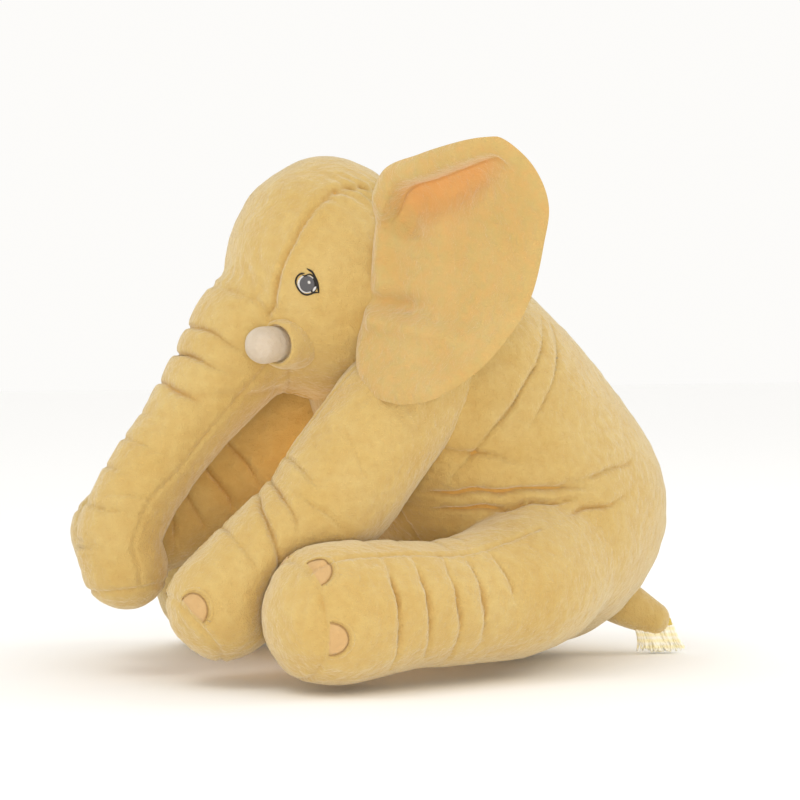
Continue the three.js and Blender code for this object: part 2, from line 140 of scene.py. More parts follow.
# Padded shapes as chains of spheres. Each row is a step from the joint or the seat, then a radius.
SEAT_LINE = np.array([0, SEAT[1], GROUND])
BODY_STATIONS = offsets(SEAT_LINE, [
    (0, 3, 125, 116), (0, -33, 172, 115), (0, -66, 215, 109), (0, -110, 270, 89)])
TRUNK_STATIONS = offsets(TRUNK_ROOT, [
    (0, -17, -14, 50), (0, -41, -46, 42), (0, -76, -91, 35),
    (0, -109, -137, 34), (0, -125, -173, 34), (0, -122, -198, 35)])
ARM_STATIONS = np.array(offsets(ARM_ROOT, [
    (-4, -4, 22, 42), (10, -43, -3, 48), (22, -78, -37, 50),
    (27, -125, -97, 48), (28, -164, -131, 47), (28, -204, -163, 44)]))
LEG_STATIONS = offsets(LEG_ROOT, [
    (0, -5, 10, 62), (35, -44, -9, 59), (60, -105, -20, 50), (75, -161, -20, 50), (85, -217, -24, 56)])
TAIL_STATIONS = offsets(TAIL_ROOT, [(-6, -14, 4, 22), (2, 8, -10, 19), (10, 28, -21, 14)])


# ---------------------------------------------------------------- fields: signed distances in mm

def smooth(value, low, high):
    """0 below low, 1 above high, and a soft step between them."""
    t = np.clip((value - low) / (high - low), 0, 1)
    return t * t * (3 - 2 * t)


def hill(value, centre, width):
    """1 at the centre, fading to nothing about two widths to each side."""
    return np.exp(-((value - centre) / width)**2)


def turn_from(angle, centre):
    """Degrees from a centre angle, between -180 and 180."""
    return (angle - centre + 180) % 360 - 180


def join(a, b, width):
    """The nearer of two distances, rounded where they meet."""
    near = np.clip(0.5 + 0.5 * (b - a) / width, 0, 1)
    return b * (1 - near) + a * near - width * near * (1 - near)


def flatten(distance, height, width=16.0):
    """The shape pressed flat against the ground."""
    return -join(-distance, height - GROUND, width)


def folded(points):
    """Points with the right side laid over the left one."""
    return np.column_stack([np.abs(points[:, 0]), points[:, 1:]])


def curve_through(rows, step):
    """A smooth path through a few given points, about step apart. A radius may run along as a column."""
    rows = np.array(rows, float)
    padded = np.vstack([2 * rows[0] - rows[1], rows, 2 * rows[-1] - rows[-2]])
    parts = []
    for i in range(len(rows) - 1):
        a, b, c, d = padded[i:i + 4]
        gap = np.linalg.norm((c - b)[:3])
        t = np.arange(0, 1, step / max(gap, step))[:, None]
        cubic = (3 * b - a - 3 * c + d) * t**3
        parts.append(0.5 * (2 * b + (c - a) * t + (2 * a - 5 * b + 4 * c - d) * t**2 + cubic))
    return np.vstack(parts + [rows[-1:]])


class Tube:
    """A smooth chain of spheres through a few stations, with places on it told by length and angle."""

    def __init__(self, stations, facing):
        curve = curve_through(stations, TUBE_STEP)
        self.centres = curve[:, :3]
        self.radii = curve[:, 3]
        gaps = np.linalg.norm(np.diff(self.centres, axis=0), axis=1)
        self.lengths = np.concatenate([[0], np.cumsum(gaps)])
        self.length = self.lengths[-1]
        self.tangents = np.gradient(self.centres, self.lengths, axis=0)
        self.tangents /= np.linalg.norm(self.tangents, axis=1)[:, None]
        side = np.cross(facing, self.tangents)
        self.sides = side / np.linalg.norm(side, axis=1)[:, None]
        self.tops = np.cross(self.tangents, self.sides)

    def nearest(self, points):
        """Distance to the surface and the nearest sphere, for every point."""
        distance = np.empty(len(points))
        index = np.empty(len(points), int)
        centres = (self.centres - self.centres[0]).astype(np.float32)
        radii = self.radii.astype(np.float32)
        for start in range(0, len(points), CHUNK):
            part = slice(start, start + CHUNK)
            q = (points[part] - self.centres[0]).astype(np.float32)
            squared = (q**2).sum(1)[:, None] + (centres**2).sum(1) - 2 * q @ centres.T
            gap = np.sqrt(np.maximum(squared, 0)) - radii
            index[part] = gap.argmin(1)
            distance[part] = gap.min(1)
        return distance, index

    def distance(self, points):
        return self.nearest(points)[0]

    def locate(self, points):
        """Length along the tube in mm and angle round it in degrees, 0 on top and 90 on the outer side."""
        index = self.nearest(points)[1]
        step = points - self.centres[index]
        length = self.lengths[index] + (step * self.tangents[index]).sum(1)
        aside = (step * self.sides[index]).sum(1)
        above = (step * self.tops[index]).sum(1)
        return length, np.degrees(np.arctan2(aside, above))

    def strip(self, points, centre, half):
        """Below zero on a strip along the tube, half degrees each way from its centre angle, in mm."""
        length, angle = self.locate(points)
        return np.radians(np.abs(turn_from(angle, centre)) - half) * self.radius_at(length)

    def radius_at(self, length):
        return np.interp(length, self.lengths, self.radii)

    def at(self, length, angle):
        """A point near the surface at a place on the tube, with the directions round and along it there."""
        index = int(np.clip(np.searchsorted(self.lengths, length), 0, len(self.lengths) - 1))
        turn = math.radians(angle)
        outward = self.tops[index] * math.cos(turn) + self.sides[index] * math.sin(turn)
        around = self.sides[index] * math.cos(turn) - self.tops[index] * math.sin(turn)
        past = max(0.0, length - self.length)
        radius = math.sqrt(max(self.radii[index]**2 - past**2, 1.0))
        point = self.centres[index] + outward * radius + self.tangents[index] * past
        return point, around, self.tangents[index]

    def bounds(self, side="left"):
        """Corners of a box with room round the tube, or round its mirror image on the right."""
        reach = self.radii.max() + ROOM
        ends = np.array([self.centres.min(0) - reach, self.centres.max(0) + reach]) * MIRROR[side]
        return ends.min(0), ends.max(0)


TETRAHEDRON = np.array([(1, -1, -1), (-1, -1, 1), (-1, 1, -1), (1, 1, 1)], float)


def gradient(field, points, reach=0.7):
    """Value and slope of a field at some points, from the four corners of a small tetrahedron."""
    slope = np.zeros_like(points)
    value = np.zeros(len(points))
    for corner in TETRAHEDRON:
        sample = field(points + corner * reach)
        slope += corner * sample[:, None]
        value += sample / 4
    return value, slope / (4 * reach)


def way_down(value, slope):
    """The step that leads from points to where a field is zero."""
    return slope * (value / np.maximum((slope**2).sum(1), 0.05))[:, None]


def drop(field, points, rounds=1):
    """Points moved onto the field's surface, and the outward directions there."""
    for _ in range(rounds):
        points = points - way_down(*gradient(field, points))
    slope = gradient(field, points)[1]
    return points, slope / np.linalg.norm(slope, axis=1)[:, None]


def lattice(counts):
    """All whole-number places in a box of counts, one to a row."""
    axes = [np.arange(count) for count in counts]
    return np.stack(np.meshgrid(*axes, indexing="ij"), -1).reshape(-1, 3)


def shell(field, low, high, voxel):
    """Quads of a field's surface. A coarse grid finds the blocks near it, and only they get fine values."""
    cells = BLOCK_CELLS
    block = cells * voxel
    low = np.array(low, float) - block
    counts = np.ceil((np.array(high, float) + block - low) / block).astype(int)
    index = lattice(counts)
    rough = field(low + (index + 0.5) * block)
    limit = 3 * voxel
    values = np.empty((counts[0], cells, counts[1], cells, counts[2], cells), np.float32)
    signs = np.where(rough > 0, limit, -limit).reshape(counts)
    values[:] = signs[:, None, :, None, :, None]
    half_diagonal = 0.87 * block
    near = index[np.abs(rough) < half_diagonal + limit]
    inner = (lattice((cells, cells, cells)) + 0.5) * voxel
    points = (low + near * block)[:, None] + inner[None]
    fine = np.clip(field(points.reshape(-1, 3)), -limit, limit).reshape(len(near), cells, cells, cells)
    values[near[:, 0], :, near[:, 1], :, near[:, 2], :] = fine
    grid = openvdb.FloatGrid(limit)
    grid.copyFromArray(values.reshape(counts * cells))
    grid.transform = openvdb.createLinearTransform(voxel)
    points, quads = grid.convertToQuads(0.0)
    return points.astype(float) + low + voxel / 2, quads.astype(int)


# ---------------------------------------------------------------- relief: folds, seams and lumps

def waves(points, size, seed, count=14):
    """Soft lumps about size mm across, between -1 and 1."""
    rng = np.random.default_rng(seed)
    total = np.zeros(len(points))
    for _ in range(count):
        direction = rng.normal(size=3)
        direction *= 2 * math.pi / (size * rng.uniform(0.7, 1.6)) / np.linalg.norm(direction)
        total += np.sin(points @ direction + rng.uniform(0, 2 * math.pi))
    return total / math.sqrt(count / 2) / 2


# Lumps of loose filling under cloth: how high and how wide.
LUMPS = [(0.9, 60), (0.45, 24), (0.16, 9)]


def stuffed(points, seed):
    """The uneven surface of loose filling pressing on cloth."""
    return sum(height * waves(points, size, seed + i) for i, (height, size) in enumerate(LUMPS))


# How far a crease strays from its line, how much wider it is on its far side, and how high its pad is.
FOLD_STRAY = 1.8
FOLD_LEAN = 1.9
PAD_HEIGHT = 0.5


def fold_heights(rows, along, angle, points, seed):
    """Creases across a limb. A row is place, angle, half angle, slant, depth and width.
    Each is a sharp line with a pad on each side, and leans, so that one pad laps over the other."""
    height = np.zeros(len(points))
    wobble = FOLD_STRAY * waves(points, 34, seed)
    vary = 1 + 0.25 * waves(points, 45, seed + 5)
    for place, centre, half, slant, depth, width in rows:
        turn = turn_from(angle, centre)
        across = along - place - slant * np.radians(turn) + wobble
        fade = np.clip(1 - (turn / half)**2, 0, 1) * vary
        lean = np.where(across > 0, width, FOLD_LEAN * width)
        line = 0.75 * np.exp(-np.abs(across) / lean) + 0.5 * hill(across, 0, 1.7)
        pad = PAD_HEIGHT * hill(across, 0.6 * width, 3.0 * width)
        height += depth * fade * (pad - line)
    return height


SEAM_DEPTH = 1.8
SEAM_WIDTH = 1.7
SHOULDER_PLACE = 4.2
PUCKER_PITCH = 8.0


def seam_height(gap, run):
    """A stitched seam: a thin groove with soft shoulders and small puckers along it."""
    groove = 0.5 * hill(np.abs(gap), SHOULDER_PLACE, 2.4) - SEAM_DEPTH * hill(gap, 0, SEAM_WIDTH)
    return groove + 0.22 * np.sin(2 * math.pi * run / PUCKER_PITCH) * hill(gap, 0, 6.0)


# ---------------------------------------------------------------- meshes

def add_piece(name, points, faces, cloth, hold, node=None, normals=None, shade=None):
    """A mesh object. cloth is a material and its slot, and node is the CAD node that the piece stands for.
    hold is the body it rides on, or two bodies and two places, and then the piece is not attached and stays
    where it is."""
    material, slot = cloth
    mesh = bpy.data.meshes.new(name)
    mesh.from_pydata((np.asarray(points) * MM).tolist(), [], [list(map(int, face)) for face in faces])
    mesh.materials.append(material)
    mesh.polygons.foreach_set("use_smooth", [True] * len(mesh.polygons))
    # Painted shade for each point, which the plush material turns into its deep colour.
    if shade is not None:
        layer = mesh.attributes.new("painted_shade", "FLOAT", "POINT")
        layer.data.foreach_set("value", np.asarray(shade, np.float32))
    mesh.update()
    if normals is not None:
        mesh.normals_split_custom_set_from_vertices(np.asarray(normals).tolist())
    piece = bpy.data.objects.new(name, mesh)
    bpy.context.scene.collection.objects.link(piece)
    if node:
        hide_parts(node)
    if isinstance(hold, str):
        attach(piece, hold)
    else:
        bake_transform(piece)


def corner_normals(points, quads):
    """Smooth directions at the corners of a whole surface, before it is cut into panels."""
    across = np.cross(points[quads[:, 2]] - points[quads[:, 0]], points[quads[:, 3]] - points[quads[:, 1]])
    total = np.zeros_like(points)
    for corner in range(4):
        np.add.at(total, quads[:, corner], across)
    return total / np.maximum(np.linalg.norm(total, axis=1), 1e-9)[:, None]


class Panel:
    """One cut piece of cloth. inside is below zero on the panel, in mm from its seam. seam tells the
    distance from the stitches where that differs, and stitch how deep they pull."""

    def __init__(self, name, node, inside, hold, seam=None, stitch=0.8):
        self.name = name
        self.node = node
        self.inside = inside
        self.hold = hold
        self.seam = seam or inside
        self.stitch = stitch


class Skin:
    """A stuffed surface cut into panels that meet exactly at their seams."""

    def __init__(self, field, relief, bounds, panels, fill):
        self.field = field
        self.relief = relief
        self.panels = panels
        points, quads = shell(field, *bounds, VOXEL)
        points = drop(field, points)[0]
        labels = self.label(points[quads].mean(1))
        points = self.snap(points, quads, labels)
        points, outward = drop(field, points)
        height = self.heights(points)
        points = points + outward * height[:, None]
        normals = corner_normals(points, quads)
        # Painted shade: the deeper the relief sinks into a crease or seam, the more deep colour is painted
        # there.
        shade = np.clip((-height - SHADE_FROM) / SHADE_RANGE, 0, SHADE_MOST)
        for number, panel in enumerate(panels):
            used, renumbered = np.unique(quads[labels == number], return_inverse=True)
            faces = renumbered.reshape(-1, 4)
            add_piece(panel.name, points[used], faces, PLUSH, panel.hold, panel.node, normals[used],
                      shade[used])

    def label(self, points):
        """The first panel that holds each point, by number. The last panel takes what is left."""
        labels = np.full(len(points), len(self.panels) - 1)
        for number in reversed(range(len(self.panels) - 1)):
            labels[self.panels[number].inside(points) < 0] = number
        return labels

    def snap(self, points, quads, labels):
        """Corners shared by two panels slide onto the seam between them."""
        lowest = np.full(len(points), len(self.panels))
        highest = np.full(len(points), -1)
        for corner in range(4):
            np.minimum.at(lowest, quads[:, corner], labels)
            np.maximum.at(highest, quads[:, corner], labels)
        points = points.copy()
        for number, panel in enumerate(self.panels[:-1]):
            chosen = np.nonzero((lowest == number) & (highest > number))[0]
            if not len(chosen):
                continue
            for _ in range(3):
                move = way_down(*gradient(panel.inside, points[chosen]))
                size = np.maximum(np.linalg.norm(move, axis=1), 1e-9)
                points[chosen] -= move * np.minimum(1, VOXEL / size)[:, None]
        return points

    def heights(self, points):
        """Relief with the seams. A seam fades where another panel lies over it."""
        height = self.relief(points)
        free = np.ones(len(points))
        run = points.sum(1)
        for panel in self.panels[:-1]:
            height = height + free * panel.stitch * seam_height(panel.seam(points), run)
            free = free * smooth(panel.inside(points), -1, 3)
        return height

    def lift(self, points, offset):
        """Points laid on the finished cloth, offset mm above it."""
        spots, outward = drop(self.field, np.atleast_2d(np.asarray(points, float)), 3)
        return spots + outward * (self.heights(spots) + offset)[:, None]


def add_filling(name, field, bounds, inset, node, hold):
    """The loose filling under a skin: the same shape, a little smaller."""
    def inner(points):
        return field(points) + inset

    points, quads = shell(inner, *bounds, FILL_VOXEL)
    points = drop(inner, points)[0]
    add_piece(name, points, quads, FILL_CLOTH, hold, node, corner_normals(points, quads))


def band(rings, count):
    """Faces between closed rings of points, count to a ring."""
    faces = []
    for ring in range(rings - 1):
        near, far = ring * count, (ring + 1) * count
        for k in range(count):
            m = (k + 1) % count
            faces.append((near + k, near + m, far + m, far + k))
    return faces


def on_plane(place, steps):
    """Points at (right, up) steps from a place. A place is an origin and its right and up directions."""
    origin, right, up = place
    steps = np.asarray(steps, float)
    return origin + steps[:, :1] * right + steps[:, 1:] * up


PATCH_EDGE = -0.4
PATCH_SINK = 0.8


def add_patch(name, skin, place, outline, thickness, cloth, body, node=None, rings=7):
    """A thin cloth or thread patch laid on a skin. outline is a closed row of (right, up) steps in mm."""
    outline = np.array(outline, float)
    centre = outline.mean(0)
    count = len(outline)
    scales = np.linspace(1, 0, rings + 1)[:-1]
    flat = np.vstack([centre + (outline - centre) * scale for scale in scales] + [centre[None]])
    heights = np.full(len(flat), thickness)
    heights[:count] = PATCH_EDGE
    outward = np.cross(place[1], place[2])
    points = skin.lift(on_plane(place, flat), 0) + outward * heights[:, None]
    under = points[:count] - outward * PATCH_SINK
    last, centre_point, below = (rings - 1) * count, rings * count, len(points)
    faces = band(rings, count)
    faces += [(last + i, last + (i + 1) % count, centre_point) for i in range(count)]
    faces.append(tuple(below + i for i in reversed(range(count))))
    faces += [(below + i, below + (i + 1) % count, (i + 1) % count, i) for i in range(count)]
    add_piece(name, np.vstack([points, under]), faces, cloth, body, node)


def rope(path, radius, sides=8, twist=0.0):
    """Points and faces of a closed round cord along a path, with thread turns as small bumps."""
    path = np.asarray(path, float)
    tangent = np.gradient(path, axis=0)
    tangent /= np.maximum(np.linalg.norm(tangent, axis=1), 1e-9)[:, None]
    helper = np.array([0.3, 0.2, 0.93])
    side = np.cross(helper, tangent)
    side /= np.linalg.norm(side, axis=1)[:, None]
    top = np.cross(tangent, side)
    size = np.broadcast_to(radius, len(path)) * (1 + twist * np.cos(np.arange(len(path)) * math.pi))
    turn = np.linspace(0, 2 * math.pi, sides, endpoint=False)
    ring = np.cos(turn)[None, :, None] * side[:, None] + np.sin(turn)[None, :, None] * top[:, None]
    points = (path[:, None] + ring * size[:, None, None]).reshape(-1, 3)
    faces = band(len(path), sides)
    faces.append(tuple(reversed(range(sides))))
    faces.append(tuple((len(path) - 1) * sides + k for k in range(sides)))
    return points, faces


def turned(profile, origin, axis, sides=48):
    """A round piece from (along, radius) points, closed at both ends."""
    side = np.cross(axis, UP)
    side /= np.linalg.norm(side)
    top = np.cross(side, axis)
    turn = np.linspace(0, 2 * math.pi, sides, endpoint=False)
    ring = np.cos(turn)[:, None] * side + np.sin(turn)[:, None] * top
    points = np.vstack([origin + axis * along + ring * radius for along, radius in profile])
    faces = [(b, a, d, c) for a, b, c, d in band(len(profile), sides)]
    faces.append(tuple(range(sides)))
    faces.append(tuple((len(profile) - 1) * sides + k for k in reversed(range(sides))))
    return points, faces


# ---------------------------------------------------------------- materials

def shader(name, colour, roughness, sheen=0.0, sheen_tint=(1, 1, 1)):
    material = bpy.data.materials.new(name)
    material.use_nodes = True
    inputs = material.node_tree.nodes["Principled BSDF"].inputs
    inputs["Base Color"].default_value = (*colour, 1)
    inputs["Roughness"].default_value = roughness
    inputs["Specular IOR Level"].default_value = 0.25
    inputs["Sheen Weight"].default_value = sheen
    inputs["Sheen Roughness"].default_value = 0.4
    inputs["Sheen Tint"].default_value = (*sheen_tint, 1)
    return material


def object_place(tree):
    return tree.nodes.new("ShaderNodeTexCoord").outputs["Object"]


def noise(tree, scale, detail, place):
    node = tree.nodes.new("ShaderNodeTexNoise")
    node.inputs["Scale"].default_value = scale
    node.inputs["Detail"].default_value = detail
    tree.links.new(place, node.inputs["Vector"])
    return node.outputs["Fac"]


def mix_colour(tree, factor, first, second):
    """Two colours mixed. Each value is a number, a colour or the socket that gives it."""
    node = tree.nodes.new("ShaderNodeMix")
    node.data_type = "RGBA"
    for name, value in (("Factor", factor), ("A", first), ("B", second)):
        if isinstance(value, float):
            node.inputs[name].default_value = value
        elif isinstance(value, tuple):
            node.inputs[name].default_value = (*value, 1)
        else:
            tree.links.new(value, node.inputs[name])
    return node.outputs["Result"]


def spread(tree, value, low, high):
    """A value stretched so that low gives 0 and high gives 1."""
    node = tree.nodes.new("ShaderNodeMapRange")
    node.inputs["From Min"].default_value = low
    node.inputs["From Max"].default_value = high
    tree.links.new(value, node.inputs["Value"])
    return node.outputs["Result"]


def grained(tree, height, strength, distance, under=None):
    """Fine bumps from a pattern, laid over the bumps given as under."""
    node = tree.nodes.new("ShaderNodeBump")
    node.inputs["Strength"].default_value = strength
    node.inputs["Distance"].default_value = distance
    tree.links.new(height, node.inputs["Height"])
    if under:
        tree.links.new(under, node.inputs["Normal"])
    return node.outputs["Normal"]


SHEEN_TINT = (1.0, 0.93, 0.76)
NAP_SHARE = 0.3


def plush(name, colour, deep, pale, sheen, pile=900.0, bump=0.5):
    """Short velvety pile: blotches where the nap lies another way, painted shade as a deeper colour in
    folds, fine grain.
    """
    material = shader(name, colour, 0.95, sheen, SHEEN_TINT)
    tree = material.node_tree
    surface = tree.nodes["Principled BSDF"]
    place = object_place(tree)
    blotch = noise(tree, 26, 4, place)
    nap = noise(tree, 130, 5, place)
    grain = noise(tree, pile, 3, place)
    brushed = mix_colour(tree, spread(tree, blotch, 0.25, 0.95), colour, pale)
    flecked = mix_colour(tree, spread(tree, nap, 0.7, 0.2), brushed, deep)
    softened = mix_colour(tree, NAP_SHARE, brushed, flecked)
    # Painted shade: the shade stored on the mesh mixes in the deep colour, in creases and seams and under
    # the ear's rim.
    painted_shade = tree.nodes.new("ShaderNodeAttribute")
    painted_shade.attribute_name = "painted_shade"
    shaded = mix_colour(tree, painted_shade.outputs["Fac"], softened, deep)
    tree.links.new(shaded, surface.inputs["Base Color"])
    pile_bumps = grained(tree, grain, bump, 0.0022)
    nap_bumps = grained(tree, nap, 0.5, 0.005, pile_bumps)
    tree.links.new(nap_bumps, surface.inputs["Normal"])
    return material


def thread(name, colour, dark, scale=420.0):
    """Satin stitching: fine parallel threads with a slight shine."""
    material = shader(name, colour, 0.55, 0.15)
    tree = material.node_tree
    surface = tree.nodes["Principled BSDF"]
    strands = tree.nodes.new("ShaderNodeTexWave")
    strands.bands_direction = "Z"
    strands.inputs["Scale"].default_value = scale
    strands.inputs["Distortion"].default_value = 1.5
    strands.inputs["Detail"].default_value = 2
    tree.links.new(object_place(tree), strands.inputs["Vector"])
    pattern = strands.outputs["Fac"]
    tree.links.new(mix_colour(tree, pattern, dark, colour), surface.inputs["Base Color"])
    tree.links.new(grained(tree, pattern, 0.6, 0.0006), surface.inputs["Normal"])
    return material


# Each cloth is a material and its slot. Plush has a main, a deep and a pale colour, thread two colours.
YELLOW = (0.575, 0.405, 0.138)
# The plush's deep colour gives flecks in the nap and is also the painted shade in creases and seams.
YELLOW_FLECK_AND_PAINTED_SHADE = (0.42, 0.215, 0.05)
YELLOW_PALE = (0.63, 0.49, 0.21)
LINING = (0.51, 0.37, 0.13)
# The lining's deep orange gives flecks in the nap and is also a painted glow, the lit shade under the ear's
# rolled rim.
LINING_FLECK_AND_PAINTED_GLOW = (0.76, 0.33, 0.10)
LINING_PALE = (0.57, 0.445, 0.19)
FILL = (0.60, 0.35, 0.09)
FILL_PALE = (0.64, 0.39, 0.12)
NAIL = (0.57, 0.375, 0.17)
NAIL_DEEP = (0.47, 0.28, 0.11)
NAIL_PALE = (0.62, 0.43, 0.22)
IVORY = (0.56, 0.48, 0.38)
IVORY_DEEP = (0.44, 0.33, 0.20)
IVORY_PALE = (0.67, 0.61, 0.53)
PLUSH = (plush("plush", YELLOW, YELLOW_FLECK_AND_PAINTED_SHADE, YELLOW_PALE, 0.9), "plush")
EAR_LINING = (plush("ear_lining", LINING, LINING_FLECK_AND_PAINTED_GLOW, LINING_PALE, 0.8), "ear_lining")
FILL_CLOTH = (plush("fill", FILL, YELLOW_FLECK_AND_PAINTED_SHADE, FILL_PALE, 0.1), "fill")
NAIL_CLOTH = (plush("nail_cloth", NAIL, NAIL_DEEP, NAIL_PALE, 0.4, 1400.0, 0.2), "nail_cloth")
NAIL_THREAD = (thread("nail_thread", (0.45, 0.28, 0.10), (0.33, 0.19, 0.07), 300.0), "nail_cloth")
TUSK_CLOTH = (plush("tusk_plush", IVORY, IVORY_DEEP, IVORY_PALE, 0.5, 1100.0, 0.35), "tusk_plush")
EYE_GREY = (thread("eye_grey", (0.145, 0.145, 0.155), (0.085, 0.085, 0.095)), "eye_thread")
EYE_BLACK = (thread("eye_black", (0.030, 0.026, 0.022), (0.012, 0.010, 0.009)), "eye_thread")
EYE_WHITE = (thread("eye_white", (0.80, 0.80, 0.80), (0.62, 0.62, 0.63)), "eye_thread")
FRINGE = (thread("fringe", (0.98, 0.97, 0.88), (0.97, 0.92, 0.64), 60.0), "fringe")
HEM_THREAD = (thread("hem_thread", (0.76, 0.62, 0.15), (0.60, 0.45, 0.09), 200.0), "fringe")


# ---------------------------------------------------------------- limbs as tubes, and their folds

def swung(points, root, turn, reach=1.0):
    """Points turned about a sideways axis through root, front end up, and drawn out from it."""
    y = (points[:, 1] - root[1]) * reach
    z = (points[:, 2] - root[2]) * reach
    swung_y = root[1] + y * math.cos(turn) + z * math.sin(turn)
    swung_z = root[2] - y * math.sin(turn) + z * math.cos(turn)
    return np.column_stack([points[:, 0], swung_y, swung_z, points[:, 3:]])


RIGHT_ARM_RAISE = math.radians(11.5)
RIGHT_ARM_REACH = 1.022
ARM_TUBES = {
    "left": Tube(ARM_STATIONS, UP),
    "right": Tube(swung(ARM_STATIONS, ARM_ROOT, RIGHT_ARM_RAISE, RIGHT_ARM_REACH), UP),
}
LEG_TUBE = Tube(LEG_STATIONS, UP)
BODY_TUBE = Tube(BODY_STATIONS, FORWARD)
TRUNK_TUBE = Tube(TRUNK_STATIONS, FORWARD)

# Folds: place along the limb, angle, half angle, slant in mm per radian, depth, and width of the crease.
ARM_FOLDS = [
    (158, 14, 50, 15, 3.6, 4.0), (190, 18, 58, 17, 4.4, 4.0), (218, 40, 66, 18, 6.2, 4.5),
    (244, 24, 54, 6, 4.0, 4.0), (181, 72, 38, -2, 3.0, 4.5), (128, 62, 34, 25, 1.8, 7.0),
    (172, -74, 50, 0, 4.4, 4.5), (204, -72, 52, 4, 5.0, 4.5), (231, -76, 48, 2, 4.6, 4.5),
    (252, -90, 44, -10, 3.6, 4.0)]
LEG_FOLDS = [
    (211, 88, 62, 0, 5.2, 4.5), (184, 84, 56, -2, 5.0, 4.5), (158, 90, 62, -6, 4.8, 4.5),
    (137, 82, 54, -3, 4.2, 4.0), (112, 62, 36, -6, 3.4, 4.5), (205, -30, 60, 4, 3.4, 5.0),
    (178, -34, 58, 4, 3.6, 5.0), (150, -30, 60, 0, 3.4, 5.0), (124, -30, 52, 0, 2.8, 5.0)]
TRUNK_FOLDS = [
    (25, 6, 100, -2, 5.4, 4.5), (50, -4, 106, -6, 5.6, 4.5), (76, 10, 84, -2, 4.0, 4.0),
    (101, -12, 56, 4, 1.6, 4.0), (127, 8, 74, -3, 3.0, 3.5), (151, -6, 66, 2, 3.2, 3.5),
    (163, 72, 44, -7, 2.6, 3.0), (163, -72, 44, 7, 2.6, 3.0), (180, 4, 112, -3, 3.6, 3.5),
    (198, -4, 66, 2, 3.0, 3.5)]
TAIL_FOLDS = [(14, 60, 120, 6, 1.8, 3.0), (26, 80, 110, 10, 1.6, 3.0)]
# The same for the belly, with heights above the ground and angles round the body from the front.
BELLY_FOLDS = [
    (147, 76, 38, 5, 11.0, 6.5), (135, 76, 36, 9, 8.0, 4.0), (160, 116, 20, 26, 5.0, 5.0),
    (128, 98, 32, 24, 7.0, 5.0), (178, 60, 30, -16, 5.0, 8.0), (212, 76, 30, 140, 5.0, 10.0),
    (238, 100, 20, 150, 3.0, 9.0)]


# ---------------------------------------------------------------- arms and toenails

ARM_SOLE = 308.0
ARM_SEAM_MIDDLE = 85.0
ARM_SEAM_HALF = 93.0
ARM_BEND_START = np.array([0, 18, 12])
ARM_BEND_END = np.array([0, -62, -50])
ARM_LUMPS = {"left": 3, "right": 5}
# How far each arm hangs below its rest at its lowest, and how deep the hind leg presses into it there.
ARM_LOWERS = {"left": 0.0, "right": math.radians(7)}
PRESSED = 2.0
PRESSED_WIDTH = 16.0
LIMB_INSET = 5.0


def add_arm(side):
    tube = ARM_TUBES[side]
    mirror = MIRROR[side]
    root = ARM_ROOT * mirror
    arm = side + "_arm"
    hold = ("body", arm, root + ARM_BEND_START, root + ARM_BEND_END)

    def field(points):
        """The arm, dented where the hind leg presses on it when the arm hangs lowest."""
        local = points * mirror
        leg = LEG_TUBE.distance(swung(local, ARM_ROOT, -ARM_LOWERS[side]))
        return -join(-tube.distance(local), leg - PRESSED, PRESSED_WIDTH)

    def relief(points):
        local = points * mirror
        folds = fold_heights(ARM_FOLDS, *tube.locate(local), local, 11)
        return folds + stuffed(points, ARM_LUMPS[side])

    def sole(points):
        return ARM_SOLE - tube.locate(points * mirror)[0]

    def outer(points):
        return tube.strip(points * mirror, ARM_SEAM_MIDDLE, ARM_SEAM_HALF)

    panels = [
        Panel(arm + "_sole_cloth", arm + "_sole", sole, hold),
        Panel(arm + "_outer_cloth", arm + "_outer_panel", outer, hold),
        Panel(arm + "_inner_cloth", arm + "_inner_panel", outer, hold)]
    skin = Skin(field, relief, tube.bounds(side), panels, BODY_FILL)
    add_filling(arm + "_filling", field, tube.bounds(side), LIMB_INSET, arm + "_stuffing", hold)
    add_toenails(arm, skin, tube, side, ARM_SOLE, ARM_NAIL_ANGLES)


ARM_NAIL_ANGLES = (-126, -50, 56)
LEG_NAIL_ANGLES = (-30, 36, 102)
NAIL_WIDTH = 25.0
NAIL_LENGTH = 15.0
NAIL_THICKNESS = 0.9
NAIL_SETBACK = 2.0
# What runs round the arc of a nail: its size to the nail's, height above the cloth, radius and cloth.
NAIL_EDGES = [("thread", 1.0, 0.6, 0.42, NAIL_THREAD), ("rim", 1.2, -1.5, 2.3, PLUSH)]


def add_toenails(limb, skin, tube, side, sole, angles):
    """Three D-shaped nail patches at the sole seam, each with a line of thread and a padded rim."""
    mirror = MIRROR[side]
    arc = np.linspace(0, math.pi, 25)
    rim = np.column_stack([NAIL_WIDTH / 2 * np.cos(arc), NAIL_LENGTH * np.sin(arc)])
    base = [(x, 0) for x in np.linspace(-NAIL_WIDTH / 2, NAIL_WIDTH / 2, 9)[1:-1]]
    outline = np.vstack([rim, base])
    for number, angle in enumerate(angles, 1):
        point, around, along = tube.at(sole - NAIL_SETBACK, angle)
        place = (point * mirror, around * mirror * mirror[0], -along * mirror)
        name = f"{limb}_nail_{number}"
        node = f"{limb}_toenail_{number}"
        add_patch(name, skin, place, outline, NAIL_THICKNESS, NAIL_CLOTH, limb, node)
        for label, size, height, radius, cloth in NAIL_EDGES:
            path = skin.lift(on_plane(place, rim * size), height)
            points, faces = rope(curve_through(path, 0.9), radius, 10)
            add_piece(f"{name}_{label}", points, faces, cloth, limb)


# ---------------------------------------------------------------- torso and hind legs, one surface

BODY_AXIS = np.array([0, SEAT[1] - 30])
HIP = LEG_ROOT[1] - 42
